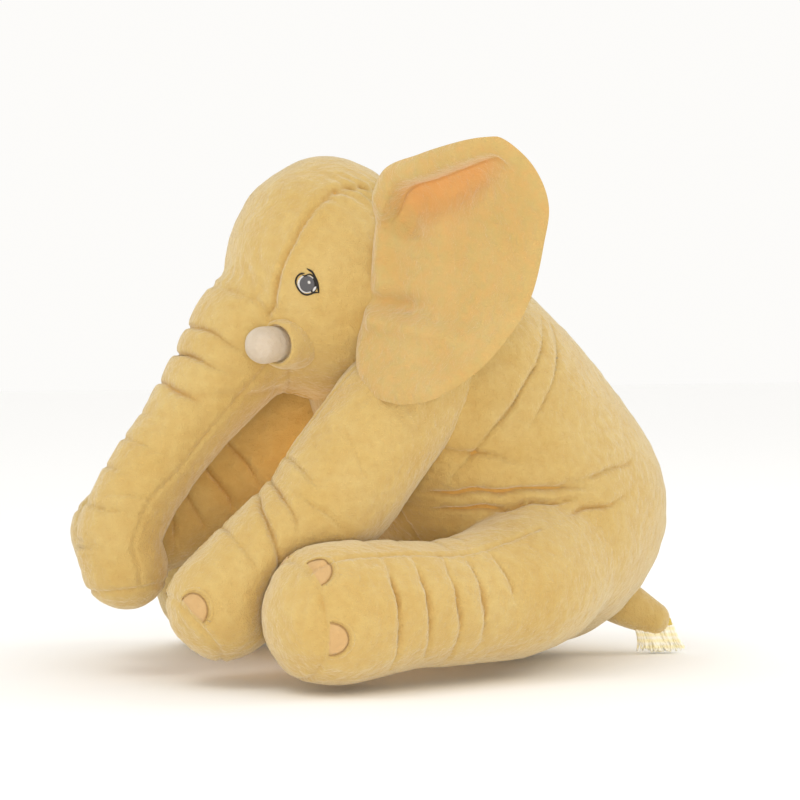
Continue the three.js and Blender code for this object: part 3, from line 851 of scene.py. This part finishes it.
# The crease between leg and belly is sharp in front of the hip and soft behind it.
SHARP_CREASE = 7.0
SOFT_CREASE = 30.0
HIP_DEPTH = 55.0
LEG_SOLE = 271.0
LEG_SEAM_MIDDLE = 118.0
LEG_SEAM_HALF = 85.0
LEG_SEAM_START = 62.0
LEG_BEND_START = np.array([14, -34, 0])
LEG_BEND_END = np.array([48, -100, -12])
BELLY_HALF_WIDTH = 50.0
BODY_INSET = 4.0


def body_angle(points):
    """Angle round the body from the front, in degrees, the same on both sides."""
    return np.degrees(np.arctan2(np.abs(points[:, 0]), BODY_AXIS[1] - points[:, 1]))


def torso_field(points):
    body = BODY_TUBE.distance(points)
    leg = LEG_TUBE.distance(folded(points))
    behind = smooth(points[:, 1], LEG_ROOT[1], LEG_ROOT[1] + HIP_DEPTH)
    crease = SHARP_CREASE + (SOFT_CREASE - SHARP_CREASE) * behind
    return flatten(join(body, leg, crease), points[:, 2])


def torso_relief(points):
    local = folded(points)
    on_leg = smooth(BODY_TUBE.distance(points) - LEG_TUBE.distance(local), -4, 14)
    legs = fold_heights(LEG_FOLDS, *LEG_TUBE.locate(local), local, 21) * on_leg
    belly = fold_heights(BELLY_FOLDS, points[:, 2], body_angle(points), local, 31) * (1 - on_leg)
    seated = smooth(points[:, 2], 4, 22)
    return (legs + belly + stuffed(points, 7)) * seated


def left_half(points):
    return -points[:, 0]


def belly_strip(points):
    return np.maximum(np.abs(points[:, 0]) - BELLY_HALF_WIDTH, points[:, 1] - BODY_AXIS[1])


def no_seam(points):
    """Far from any stitches, everywhere."""
    return np.full(len(points), 99.0)


def both(first, second):
    return lambda points: np.maximum(first(points), second(points))


def leg_hold(side):
    mirror = MIRROR[side]
    return ("body", side + "_leg", (LEG_ROOT + LEG_BEND_START) * mirror, (LEG_ROOT + LEG_BEND_END) * mirror)


def leg_panels(side):
    leg = side + "_leg"
    mirror = MIRROR[side]
    hold = leg_hold(side)

    def off_leg(points):
        """Below zero on the hind leg, above it on the body."""
        return LEG_TUBE.distance(points * mirror) - BODY_TUBE.distance(points)

    def region(points):
        local = points * mirror
        return np.maximum(np.maximum(off_leg(points), local[:, 1] - HIP), -local[:, 0])

    def sole(points):
        return LEG_SOLE - LEG_TUBE.locate(points * mirror)[0]

    def outer(points):
        return LEG_TUBE.strip(points * mirror, LEG_SEAM_MIDDLE, LEG_SEAM_HALF)

    def outer_seam(points):
        before = LEG_SEAM_START - LEG_TUBE.locate(points * mirror)[0]
        return np.abs(outer(points)) + np.maximum(0, before) + np.maximum(0, off_leg(points))

    return [
        Panel(leg + "_sole_cloth", leg + "_sole", both(region, sole), hold, sole),
        Panel(leg + "_outer_cloth", leg + "_outer_panel", both(region, outer), hold, outer_seam),
        Panel(leg + "_inner_cloth", leg + "_inner_panel", region, hold, no_seam)]


def torso_bounds():
    leg_reach = LEG_TUBE.radii.max() + ROOM
    aside = LEG_TUBE.centres[:, 0].max() + leg_reach
    front = LEG_TUBE.centres[:, 1].min() - leg_reach
    back = BODY_STATIONS[0][1] + BODY_STATIONS[0][3] + ROOM
    top = BODY_STATIONS[-1][2] + BODY_STATIONS[-1][3] + ROOM
    return np.array([-aside, front, GROUND]), np.array([aside, back, top])


def seated_tube(tube, mirror=1):
    """The field of a tube that is pressed flat against the ground."""
    return lambda points: flatten(tube.distance(points * mirror), points[:, 2])


def add_torso():
    panels = leg_panels("left") + leg_panels("right") + [
        Panel("belly_cloth", "belly_panel", belly_strip, "body"),
        Panel("body_left_cloth", "body_left_panel", left_half, "body"),
        Panel("body_right_cloth", "body_right_panel", left_half, "body")]
    skin = Skin(torso_field, torso_relief, torso_bounds(), panels, BODY_FILL)
    add_filling("body_filling", seated_tube(BODY_TUBE), torso_bounds(), BODY_INSET, "body_stuffing", "body")
    for side in SIDES:
        leg = side + "_leg"
        field = seated_tube(LEG_TUBE, MIRROR[side])
        add_filling(leg + "_filling", field, LEG_TUBE.bounds(side), LIMB_INSET, leg + "_stuffing",
                    leg_hold(side))
        add_toenails(leg, skin, LEG_TUBE, side, LEG_SOLE, LEG_NAIL_ANGLES)


# ---------------------------------------------------------------- head and trunk, one surface

TRUNK_JOIN = 14.0
# The brow seam, where the trunk's panels start: its drop below the head's middle, and its sag to each side.
BROW_DROP = 6.0
BROW_SAG = 17.0
BROW_HALF_WIDTH = 55.0
TRUNK_TIP = 234.0
# The trunk's upper panel reaches this far round from the top, and less past the middle of the trunk.
TRUNK_TOP_HALF = 108.0
TRUNK_TOP_LESS = 14.0
TRUNK_BEND_START = np.array([0, 8, 20])
TRUNK_BEND_END = np.array([0, -45, -52])
HEAD_INSET = 4.0
# Half width of the gusset by height above the head's middle.
GUSSET_HEIGHTS = [-99, -79, -32, -22, 4, 27, 48, 62, 72, 99]
GUSSET_WIDTHS = [6, 13, 50, 55, 61, 66, 66, 64, 60, 57]
# Small pleats over the brow seam, gathers beside the ear's root, and the crease of the chin.
PLEAT_PITCH = 12.5
PLEAT_DEPTH = 0.6
GATHER_PITCH = 15.0
GATHER_DEPTH = 1.7
CHIN_DEPTH = 2.2


def head_field(points):
    step = (points - HEAD_MIDDLE) / HEAD_RADII
    size = np.linalg.norm(step, axis=1)
    slope = np.maximum(np.linalg.norm(step / HEAD_RADII, axis=1), 1e-6)
    return size * (size - 1) / slope


def face_field(points):
    return join(head_field(points), TRUNK_TUBE.distance(points), TRUNK_JOIN)


def gusset(points):
    height = points[:, 2] - HEAD_MIDDLE[2]
    front = np.interp(height, GUSSET_HEIGHTS, GUSSET_WIDTHS)
    back = smooth(points[:, 1], HEAD_MIDDLE[1] - 5, HEAD_MIDDLE[1] + 30)
    return np.abs(points[:, 0]) - front * (1 - back) - GUSSET_WIDTHS[-1] * back


def on_trunk(points):
    """Below zero on the trunk, past the brow seam."""
    brow = HEAD_MIDDLE[2] - BROW_DROP - BROW_SAG * (points[:, 0] / BROW_HALF_WIDTH)**2
    return np.maximum(TRUNK_TUBE.distance(points) - head_field(points), points[:, 2] - brow)


def trunk_tip(points):
    return np.maximum(on_trunk(points), TRUNK_TIP - TRUNK_TUBE.locate(points)[0])


def trunk_top(points):
    length, angle = TRUNK_TUBE.locate(points)
    half = TRUNK_TOP_HALF - TRUNK_TOP_LESS * smooth(length, 120, 165)
    return np.maximum(on_trunk(points), np.radians(np.abs(angle) - half) * TRUNK_TUBE.radius_at(length))


def face_relief(points):
    local = folded(points)
    past = smooth(head_field(points) - TRUNK_TUBE.distance(points), -10, 12)
    trunk = fold_heights(TRUNK_FOLDS, *TRUNK_TUBE.locate(local), local, 41) * past
    across = np.abs(points[:, 0])
    rise = points[:, 2] - HEAD_MIDDLE[2]
    front = smooth(HEAD_MIDDLE[1] - 30 - points[:, 1], 0, 25)
    stray = 5 * waves(local, 40, 18)
    pleats = np.sin(2 * math.pi * (across + stray) / PLEAT_PITCH) * hill(rise, 4, 12)
    pleats *= smooth(across, 4, 12) * (1 - smooth(across, 46, 56)) * front
    slanted = points[:, 1] - 0.9 * across + 0.6 * rise
    gathers = np.sin(2 * math.pi * (slanted + stray) / GATHER_PITCH)
    gathers *= hill(across, 56, 19) * hill(rise, 66, 17)
    gathers *= smooth(points[:, 1], HEAD_MIDDLE[1] - 30, HEAD_MIDDLE[1] + 5)
    chin = hill(rise + 0.25 * across, -84, 4.5) * smooth(across, 8, 20) * front
    sewn = PLEAT_DEPTH * pleats + GATHER_DEPTH * gathers - CHIN_DEPTH * chin
    return trunk + sewn + 0.8 * stuffed(points, 17)


def add_face():
    hold = ("head", "trunk", TRUNK_ROOT + TRUNK_BEND_START, TRUNK_ROOT + TRUNK_BEND_END)
    panels = [
        Panel("trunk_tip_cloth", "trunk_tip_panel", trunk_tip, hold),
        Panel("trunk_top_cloth", "trunk_top_panel", trunk_top, hold, stitch=0.6),
        Panel("trunk_under_cloth", "trunk_under_panel", on_trunk, hold),
        Panel("head_gusset_cloth", "head_gusset", gusset, hold, stitch=1.5),
        Panel("head_left_cloth", "head_left_panel", left_half, hold),
        Panel("head_right_cloth", "head_right_panel", left_half, hold)]
    trunk_low, trunk_high = TRUNK_TUBE.bounds()
    bounds = np.minimum(HEAD_LOW - ROOM, trunk_low), np.maximum(HEAD_HIGH + ROOM, trunk_high)
    skin = Skin(face_field, face_relief, bounds, panels, FACE_FILL)
    add_filling("head_filling", head_field, (HEAD_LOW, HEAD_HIGH), HEAD_INSET, "head_stuffing", "head")
    add_filling("trunk_filling", TRUNK_TUBE.distance, (trunk_low, trunk_high), LIMB_INSET, "trunk_stuffing",
                hold)
    return skin


# ---------------------------------------------------------------- embroidered eyes

# Lines of thread as (back, up) steps from the eye's middle.
EYE_RIM = [
    (9.5, -6.9), (6.0, -6.8), (3.2, -7.8), (0, -8.5), (-3.1, -7.8), (-5.9, -5.5), (-8.4, -1.7),
    (-9.3, 1.8), (-8.5, 5.0), (-6.6, 7.1), (-4.1, 8.3), (-1.7, 8.4)]
EYE_LASH = [(0.1, 12.2), (2.4, 10.8), (4.6, 9.2), (7.1, 4.6), (8.7, 0.4), (9.2, -3.8), (9.6, -7.1)]
EYE_LID = [(-4.1, 7.6), (-2.0, 6.4), (0, 6.9), (2.6, 7.6), (5.0, 6.0), (7.2, 2.6), (8.3, -1.2)]
EYE_LINES = [("rim", EYE_RIM, 0.72), ("lash", EYE_LASH, 0.85), ("lid", EYE_LID, 0.6)]
EYE_LINE_HEIGHT = 0.35


def ellipse(x, y, width, height, count=28, tilt=0.0):
    turn = np.linspace(0, 2 * math.pi, count, endpoint=False)
    a, b = width / 2 * np.cos(turn), height / 2 * np.sin(turn)
    c, s = math.cos(tilt), math.sin(tilt)
    return np.column_stack([x + a * c - b * s, y + a * s + b * c])


# Stitched areas, lowest first: outline, height above the cloth and thread.
EYE_LAYERS = [
    ("white", ellipse(-0.3, -0.1, 17.6, 16.4), 0.25, EYE_WHITE),
    ("dark", ellipse(4.6, -1.0, 9.0, 13.0), 0.32, EYE_BLACK),
    ("iris", ellipse(0.1, 0, 14.4, 14.8), 0.55, EYE_GREY),
    ("glint", ellipse(1.9, 1.3, 2.7, 3.2, 16, 0.5), 0.85, EYE_WHITE),
    ("corner", ellipse(6.2, -3.9, 2.2, 5.4, 20, -0.6), 0.75, EYE_WHITE)]


def add_eye(side, skin):
    sign = MIRROR[side][0]
    spots, outward = drop(face_field, middle(side + "_eye")[None], 3)
    back = np.cross(outward[0], UP) * -sign
    back /= np.linalg.norm(back)
    up = np.cross(outward[0], back) * sign
    place = (spots[0], back * sign, up)
    node = side + "_eye"
    for label, outline, height, cloth in EYE_LAYERS:
        seen = outline if sign > 0 else outline[::-1] * [-1, 1]
        add_patch(f"{side}_eye_{label}", skin, place, seen, height, cloth, "head", node, 5)
        node = None
    for label, rows, radius in EYE_LINES:
        path = skin.lift(on_plane((spots[0], back, up), curve_through(rows, 0.5)), EYE_LINE_HEIGHT)
        from_end = np.minimum(np.arange(len(path)), np.arange(len(path))[::-1])
        taper = np.minimum(1, 0.35 + from_end / 8)
        points, faces = rope(path, radius * taper, 8, 0.06)
        add_piece(f"{side}_eye_{label}", points, faces, EYE_BLACK, "head")


# ---------------------------------------------------------------- tusks

TUSK_AIM = np.array([0.54, -0.84, -0.06])
TUSK_RADIUS = 14.8
TUSK_REACH = 19.5
TUSK_FORWARD = 3.0
CUFF_FORWARD = 3.5
# The cloth cuff round the tusk's root: steps along the tusk, and out from its side.
CUFF = [(-26, 0), (-26, 6.5), (-14, 6), (-5, 4.8), (0, 2.8), (0.6, 1.2), (-1, 0.2), (-6, -1)]


def add_tusk(side):
    aim = TUSK_AIM * MIRROR[side]
    aim = aim / np.linalg.norm(aim)
    reach, radius = TUSK_REACH, TUSK_RADIUS
    neck = reach - radius
    tip = [(neck + radius * math.sin(a), radius * math.cos(a)) for a in np.linspace(0, 1.5, 16)]
    shaft = [(x, radius - (neck - x) / 24) for x in np.linspace(-reach + 2, neck - 2, 9)]
    profile = [(-reach, radius - 3)] + shaft + tip
    points, faces = turned(profile, middle(side + "_tusk") + FORWARD * TUSK_FORWARD, aim)
    points = points + aim * (0.5 * waves(points, 16, 51))[:, None]
    add_piece(side + "_tusk_cloth", points, faces, TUSK_CLOTH, "head", side + "_tusk")
    cuff = [(along, radius + out) for along, out in curve_through(CUFF, 1.5)]
    sleeve = side + "_tusk_sleeve"
    points, faces = turned(cuff, middle(sleeve) + aim * CUFF_FORWARD, aim)
    points = points + UP * (0.5 * waves(points, 14, 52))[:, None]
    add_piece(sleeve + "_cloth", points, faces, PLUSH, "head", sleeve)


# ---------------------------------------------------------------- ears

# The ear stands out sideways and back. Its outline is steps along it and up, from its root.
EAR_YAW = math.radians(32)
EAR_ALONG = np.array([math.cos(EAR_YAW), math.sin(EAR_YAW), 0])
EAR_AHEAD = np.array([math.sin(EAR_YAW), -math.cos(EAR_YAW), 0])
EAR_BEND = (-22, 30)
EAR_OUTLINE = [
    (4, 53), (28, 83), (66, 94), (100, 101), (130, 105), (144, 102), (162, 79), (168, 53), (160, 24),
    (148, -15), (130, -48), (111, -72), (80, -92), (53, -98), (34, -97), (14, -91), (-8, -70),
    (-16, -41), (-13, -10), (-8, 8), (-2, 35)]
EAR_MIDDLE = np.array([82.0, 4.0])
EAR_RINGS, EAR_SPOKES = ((60, 260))
EAR_HALF = 6.0
EAR_PADDED_EDGE = 2.6
EAR_CUP = 26.0
EAR_SPAN = 110.0
# The upper rim rolls forward by EAR_ROLL over a strip of EAR_ROLL_WIDTH, with a hollow of lining below it.
EAR_ROLL = 15.0
EAR_ROLL_WIDTH = 15.0
EAR_LAP = 5.0
EAR_HOLLOW = 9.0
EAR_GROOVE = 2.4
EAR_LOBE = 9.0
# How strongly the painted glow under the rolled rim pulls the lining to its deep orange.
EAR_GLOW = 0.62
WADDING_INSET = 0.06
WADDING_SHARE = 0.7


def ear_radius(spoke):
    """How far the ear's rim is from its middle, in a direction."""
    rim = curve_through(EAR_OUTLINE + EAR_OUTLINE[:1], 2.0)
    turn = np.arctan2(rim[:, 1] - EAR_MIDDLE[1], rim[:, 0] - EAR_MIDDLE[0]) % (2 * math.pi)
    order = np.argsort(turn)
    size = np.linalg.norm(rim - EAR_MIDDLE, axis=1)
    return np.interp(spoke, turn[order], size[order], period=2 * math.pi)


def arch(degrees, rise_from, rise_to, fall_from, fall_to):
    """1 over a stretch of angles, with a soft rise before it and a soft fall after it."""
    return smooth(degrees, rise_from, rise_to) * (1 - smooth(degrees, fall_from, fall_to))


def ear_shape(rho, spoke, front):
    """Ear points, rho 0 in the middle and 1 on the rim, as steps along, up and forward, and their shade."""
    radius = ear_radius(spoke)
    edge = (1 - rho) * radius
    degrees = np.degrees(spoke) % 360
    rolled = arch(degrees, 46, 76, 138, 156)
    lap = EAR_LAP * rolled * hill(edge, 0.75 * EAR_ROLL_WIDTH, 5) if front else 0
    u = EAR_MIDDLE[0] + (rho * radius - lap) * np.cos(spoke)
    v = EAR_MIDDLE[1] + (rho * radius - lap) * np.sin(spoke)
    near_root = smooth(u, -14, 6)
    valley = near_root * (1 - smooth(u, 20, 75)) * hill(v + 0.1 * u, -18, 7)
    ridge = near_root * (1 - smooth(u, 60, 125)) * hill(v + 0.14 * u, -33, 10)
    root_fold = hill(u - 0.1 * v, 6, 9) * arch(v, -40, -10, 20, 50)
    depth = EAR_CUP * (v / EAR_SPAN)**2 + EAR_LOBE * smooth(-v, 25, 85)
    depth += EAR_ROLL * rolled * (1 - smooth(edge, EAR_ROLL_WIDTH - 4, EAR_ROLL_WIDTH + 1))
    depth -= EAR_HOLLOW * rolled * hill(edge, EAR_ROLL_WIDTH + 16, 17)
    depth += 9 * ridge - 8 * valley + 5 * root_fold
    half = EAR_HALF * np.sqrt(np.clip(1 - rho**8, 0, 1))
    half += EAR_PADDED_EDGE * (0.3 + 0.7 * rolled) * hill(edge, 7, 5)
    half *= np.sqrt(np.clip(1 - rho**24, 0, 1))
    groove = EAR_GROOVE * rolled * hill(edge, EAR_ROLL_WIDTH + 1, 2.0)
    # Painted glow just inside the rolled rim and faint painted shade in the valley, both given as shade.
    glow = smooth(edge, EAR_ROLL_WIDTH - 3, EAR_ROLL_WIDTH + 2) * hill(edge, EAR_ROLL_WIDTH, 36)
    shade = EAR_GLOW * glow * arch(degrees, 46, 74, 118, 152) + 0.08 * valley
    return u, v, depth + (half - groove if front else -half), shade


def ear_sheet(side, front, inset=0.0):
    """Points of an ear's front or back and their shade, in rings from near the middle to the rim,
    with the middle point last."""
    rho = 1 - (1 - np.linspace(0, 1, EAR_RINGS + 1)[1:])**1.35
    spoke = np.linspace(0, 2 * math.pi, EAR_SPOKES, endpoint=False)
    rho, spoke = np.meshgrid(rho, spoke, indexing="ij")
    rho = np.append(rho.ravel() * (1 - inset), 0.0)
    u, v, depth, shade = ear_shape(rho, np.append(spoke.ravel(), 0.0), front)
    points = EAR_ROOT + u[:, None] * EAR_ALONG + v[:, None] * UP + depth[:, None] * EAR_AHEAD
    lumps = 1.1 * waves(points, 46, 61) + 0.35 * waves(points, 16, 62)
    inner = np.clip((1 - rho) * 8, 0, 1)
    return (points + EAR_AHEAD * (lumps * inner)[:, None]) * MIRROR[side], shade


def ear_faces(turned_over):
    centre_point = EAR_RINGS * EAR_SPOKES
    faces = [(a, d, c, b) for a, b, c, d in band(EAR_RINGS, EAR_SPOKES)]
    faces += [(centre_point, k, (k + 1) % EAR_SPOKES) for k in range(EAR_SPOKES)]
    return [face[::-1] for face in faces] if turned_over else faces


def add_ear(side):
    ear = side + "_ear"
    start, end = [(EAR_ROOT + EAR_ALONG * step) * MIRROR[side] for step in EAR_BEND]
    hold = ("head", ear, start, end)
    on_right = side == "right"
    # The lining carries the painted glow and shade; the back gets none.
    points, shade = ear_sheet(side, True)
    add_piece(ear + "_front_cloth", points, ear_faces(on_right), EAR_LINING, hold, ear + "_front",
              shade=shade)
    points, shade = ear_sheet(side, False)
    add_piece(ear + "_back_cloth", points, ear_faces(not on_right), PLUSH, hold, ear + "_back",
              shade=shade * 0)
    front = ear_sheet(side, True, WADDING_INSET)[0]
    back = ear_sheet(side, False, WADDING_INSET)[0]
    between = (front + back) / 2
    points = [between + (sheet - between) * WADDING_SHARE for sheet in (front, back)]
    count = len(front)
    faces = ear_faces(on_right) + [tuple(i + count for i in face) for face in ear_faces(not on_right)]
    first = (EAR_RINGS - 1) * EAR_SPOKES
    for k in range(EAR_SPOKES):
        a, b = first + k, first + (k + 1) % EAR_SPOKES
        face = (a, b, b + count, a + count)
        faces.append(face if on_right else face[::-1])
    add_piece(ear + "_padding", np.vstack(points), faces, FILL_CLOTH, hold, ear + "_wadding")


# ---------------------------------------------------------------- tail and tassel

TAIL_INSET = 3.5
# The lip of the tail's end, which the fringe hangs from, as steps from the tail's joint.
TAIL_LIP = np.array([(8, 12, -25), (13, 27, -29), (16, 42, -26)])
HEM_RISE = np.array([0, 0, 2])
HEM_RADIUS = 3.6
STRANDS = 170
STRAND_STEPS = 9
STRAND_AIM = np.array([0.1, 0.30, -0.95])
STRAND_RADII = (1.5, 0.8)
STRAND_LENGTHS = (17, 23)
STRAND_CLEARANCE = 1.2


def add_tail():
    tube = Tube(TAIL_STATIONS, UP)

    def relief(points):
        return fold_heights(TAIL_FOLDS, *tube.locate(points), points, 71) + 0.4 * stuffed(points, 72)

    panels = [Panel("tail_cloth", "tail_cover", None, "tail")]
    Skin(tube.distance, relief, tube.bounds(), panels, TAIL_FILL)
    add_filling("tail_filling", tube.distance, tube.bounds(), TAIL_INSET, "tail_stuffing", "tail")
    lip = TAIL_LIP + TAIL_ROOT
    points, faces = rope(curve_through(lip, 1.5) + HEM_RISE, HEM_RADIUS, 12)
    add_piece("tail_hem", points, faces, HEM_THREAD, "tail")
    add_tassel(curve_through(lip, 0.2))


def add_tassel(hem):
    """Loose threads that start along the hem, hang down and back, and spread a little."""
    rng = np.random.default_rng(5)
    steps = np.linspace(0, 1, STRAND_STEPS)[:, None]
    radii = np.linspace(*STRAND_RADII, STRAND_STEPS)
    points, faces = [], []
    for _ in range(STRANDS):
        start = hem[rng.integers(len(hem))] + rng.normal(0, (1.6, 0.8, 1.0))
        drift = np.append(rng.normal(1, (2.0, 2.6)), 0)
        path = start + STRAND_AIM * rng.uniform(*STRAND_LENGTHS) * steps + drift * steps**2
        path[:, 2] = np.maximum(path[:, 2], GROUND + STRAND_CLEARANCE)
        strand, web = rope(path, radii, 5)
        faces += [tuple(i + len(points) * len(strand) for i in face) for face in web]
        points.append(strand)
    add_piece("tail_tassel_threads", np.vstack(points), faces, FRINGE, "tail", "tail_tassel")


# ---------------------------------------------------------------- stage, light and camera

FLOOR_SIZE = 14
FLOOR_DROP = 0.0005
WORLD_STRENGTH = 0.98
LIGHT_AIM = Vector((0, 0, 0.2))
# Studio lights: name, place in metres, size, power and colour.
LIGHTS = [
    ("key", (0.5, -1.3, 2.5), 1.0, 9, (1.0, 0.985, 0.94)),
    ("fill", (1.75, -0.68, 0.16), 0.5, 12, (1.0, 0.80, 0.58)),
    ("rim", (0.3, 2.3, 1.5), 1.0, 12, (1.0, 0.98, 0.95))]
# Warm light that comes back off the cloth between the arms, from a place in the hollow behind the trunk.
GLOW_PLACE = (ARM_ROOT * [0, 1, 1] + np.array([20, -84, -66])) * MM
GLOW_RADIUS = 0.03
GLOW_POWER = 0.13
GLOW_COLOUR = (1.0, 0.68, 0.40)
CAMERA_AZIMUTH = math.radians(70)
CAMERA_ELEVATION = math.radians(2)
CAMERA_DISTANCE = 2.4
CAMERA_LENS = 131.0
CAMERA_AIM = (CAD_BOX[0] + CAD_BOX[1]) / 2 + Vector((0, 0.012, 0.0055))


def add_stage():
    bpy.ops.mesh.primitive_plane_add(size=FLOOR_SIZE, location=(0, 0, -FLOOR_DROP))
    floor = bpy.context.object
    floor.name = "floor"
    floor.data.materials.append(shader("floor", (0.98, 0.98, 0.975), 0.9))
    world = bpy.data.worlds.new("studio")
    world.use_nodes = True
    sky = world.node_tree.nodes["Background"].inputs
    sky["Color"].default_value = (1.0, 0.99, 0.97, 1)
    sky["Strength"].default_value = WORLD_STRENGTH
    bpy.context.scene.world = world
    bpy.context.scene.view_settings.view_transform = "Standard"


def add_lamp(name, kind, place, power, colour):
    light = bpy.data.lights.new(name, kind)
    light.energy = power
    light.color = colour
    lamp = bpy.data.objects.new(name, light)
    lamp.location = place
    bpy.context.scene.collection.objects.link(lamp)
    return lamp


def add_lights():
    for name, place, size, power, colour in LIGHTS:
        lamp = add_lamp(name, "AREA", place, power, colour)
        lamp.data.size = size
        lamp.rotation_euler = (LIGHT_AIM - Vector(place)).to_track_quat("-Z", "Y").to_euler()
    glow = add_lamp("glow", "POINT", GLOW_PLACE, GLOW_POWER, GLOW_COLOUR)
    glow.data.shadow_soft_size = GLOW_RADIUS
    glow.visible_camera = False


def add_camera():
    a, e = CAMERA_AZIMUTH, CAMERA_ELEVATION
    back = Vector((math.sin(a) * math.cos(e), -math.cos(a) * math.cos(e), math.sin(e)))
    camera = bpy.data.objects.new("camera", bpy.data.cameras.new("camera"))
    camera.data.lens = CAMERA_LENS
    camera.data.sensor_width = 36
    camera.location = CAMERA_AIM + back * CAMERA_DISTANCE
    camera.rotation_euler = (-back).to_track_quat("-Z", "Y").to_euler()
    bpy.context.scene.collection.objects.link(camera)
    bpy.context.scene.camera = camera


add_camera()
add_stage()
add_lights()
add_torso()
for side_name in SIDES:
    add_arm(side_name)
face_skin = add_face()
for side_name in SIDES:
    add_eye(side_name, face_skin)
    add_tusk(side_name)
    add_ear(side_name)
add_tail()
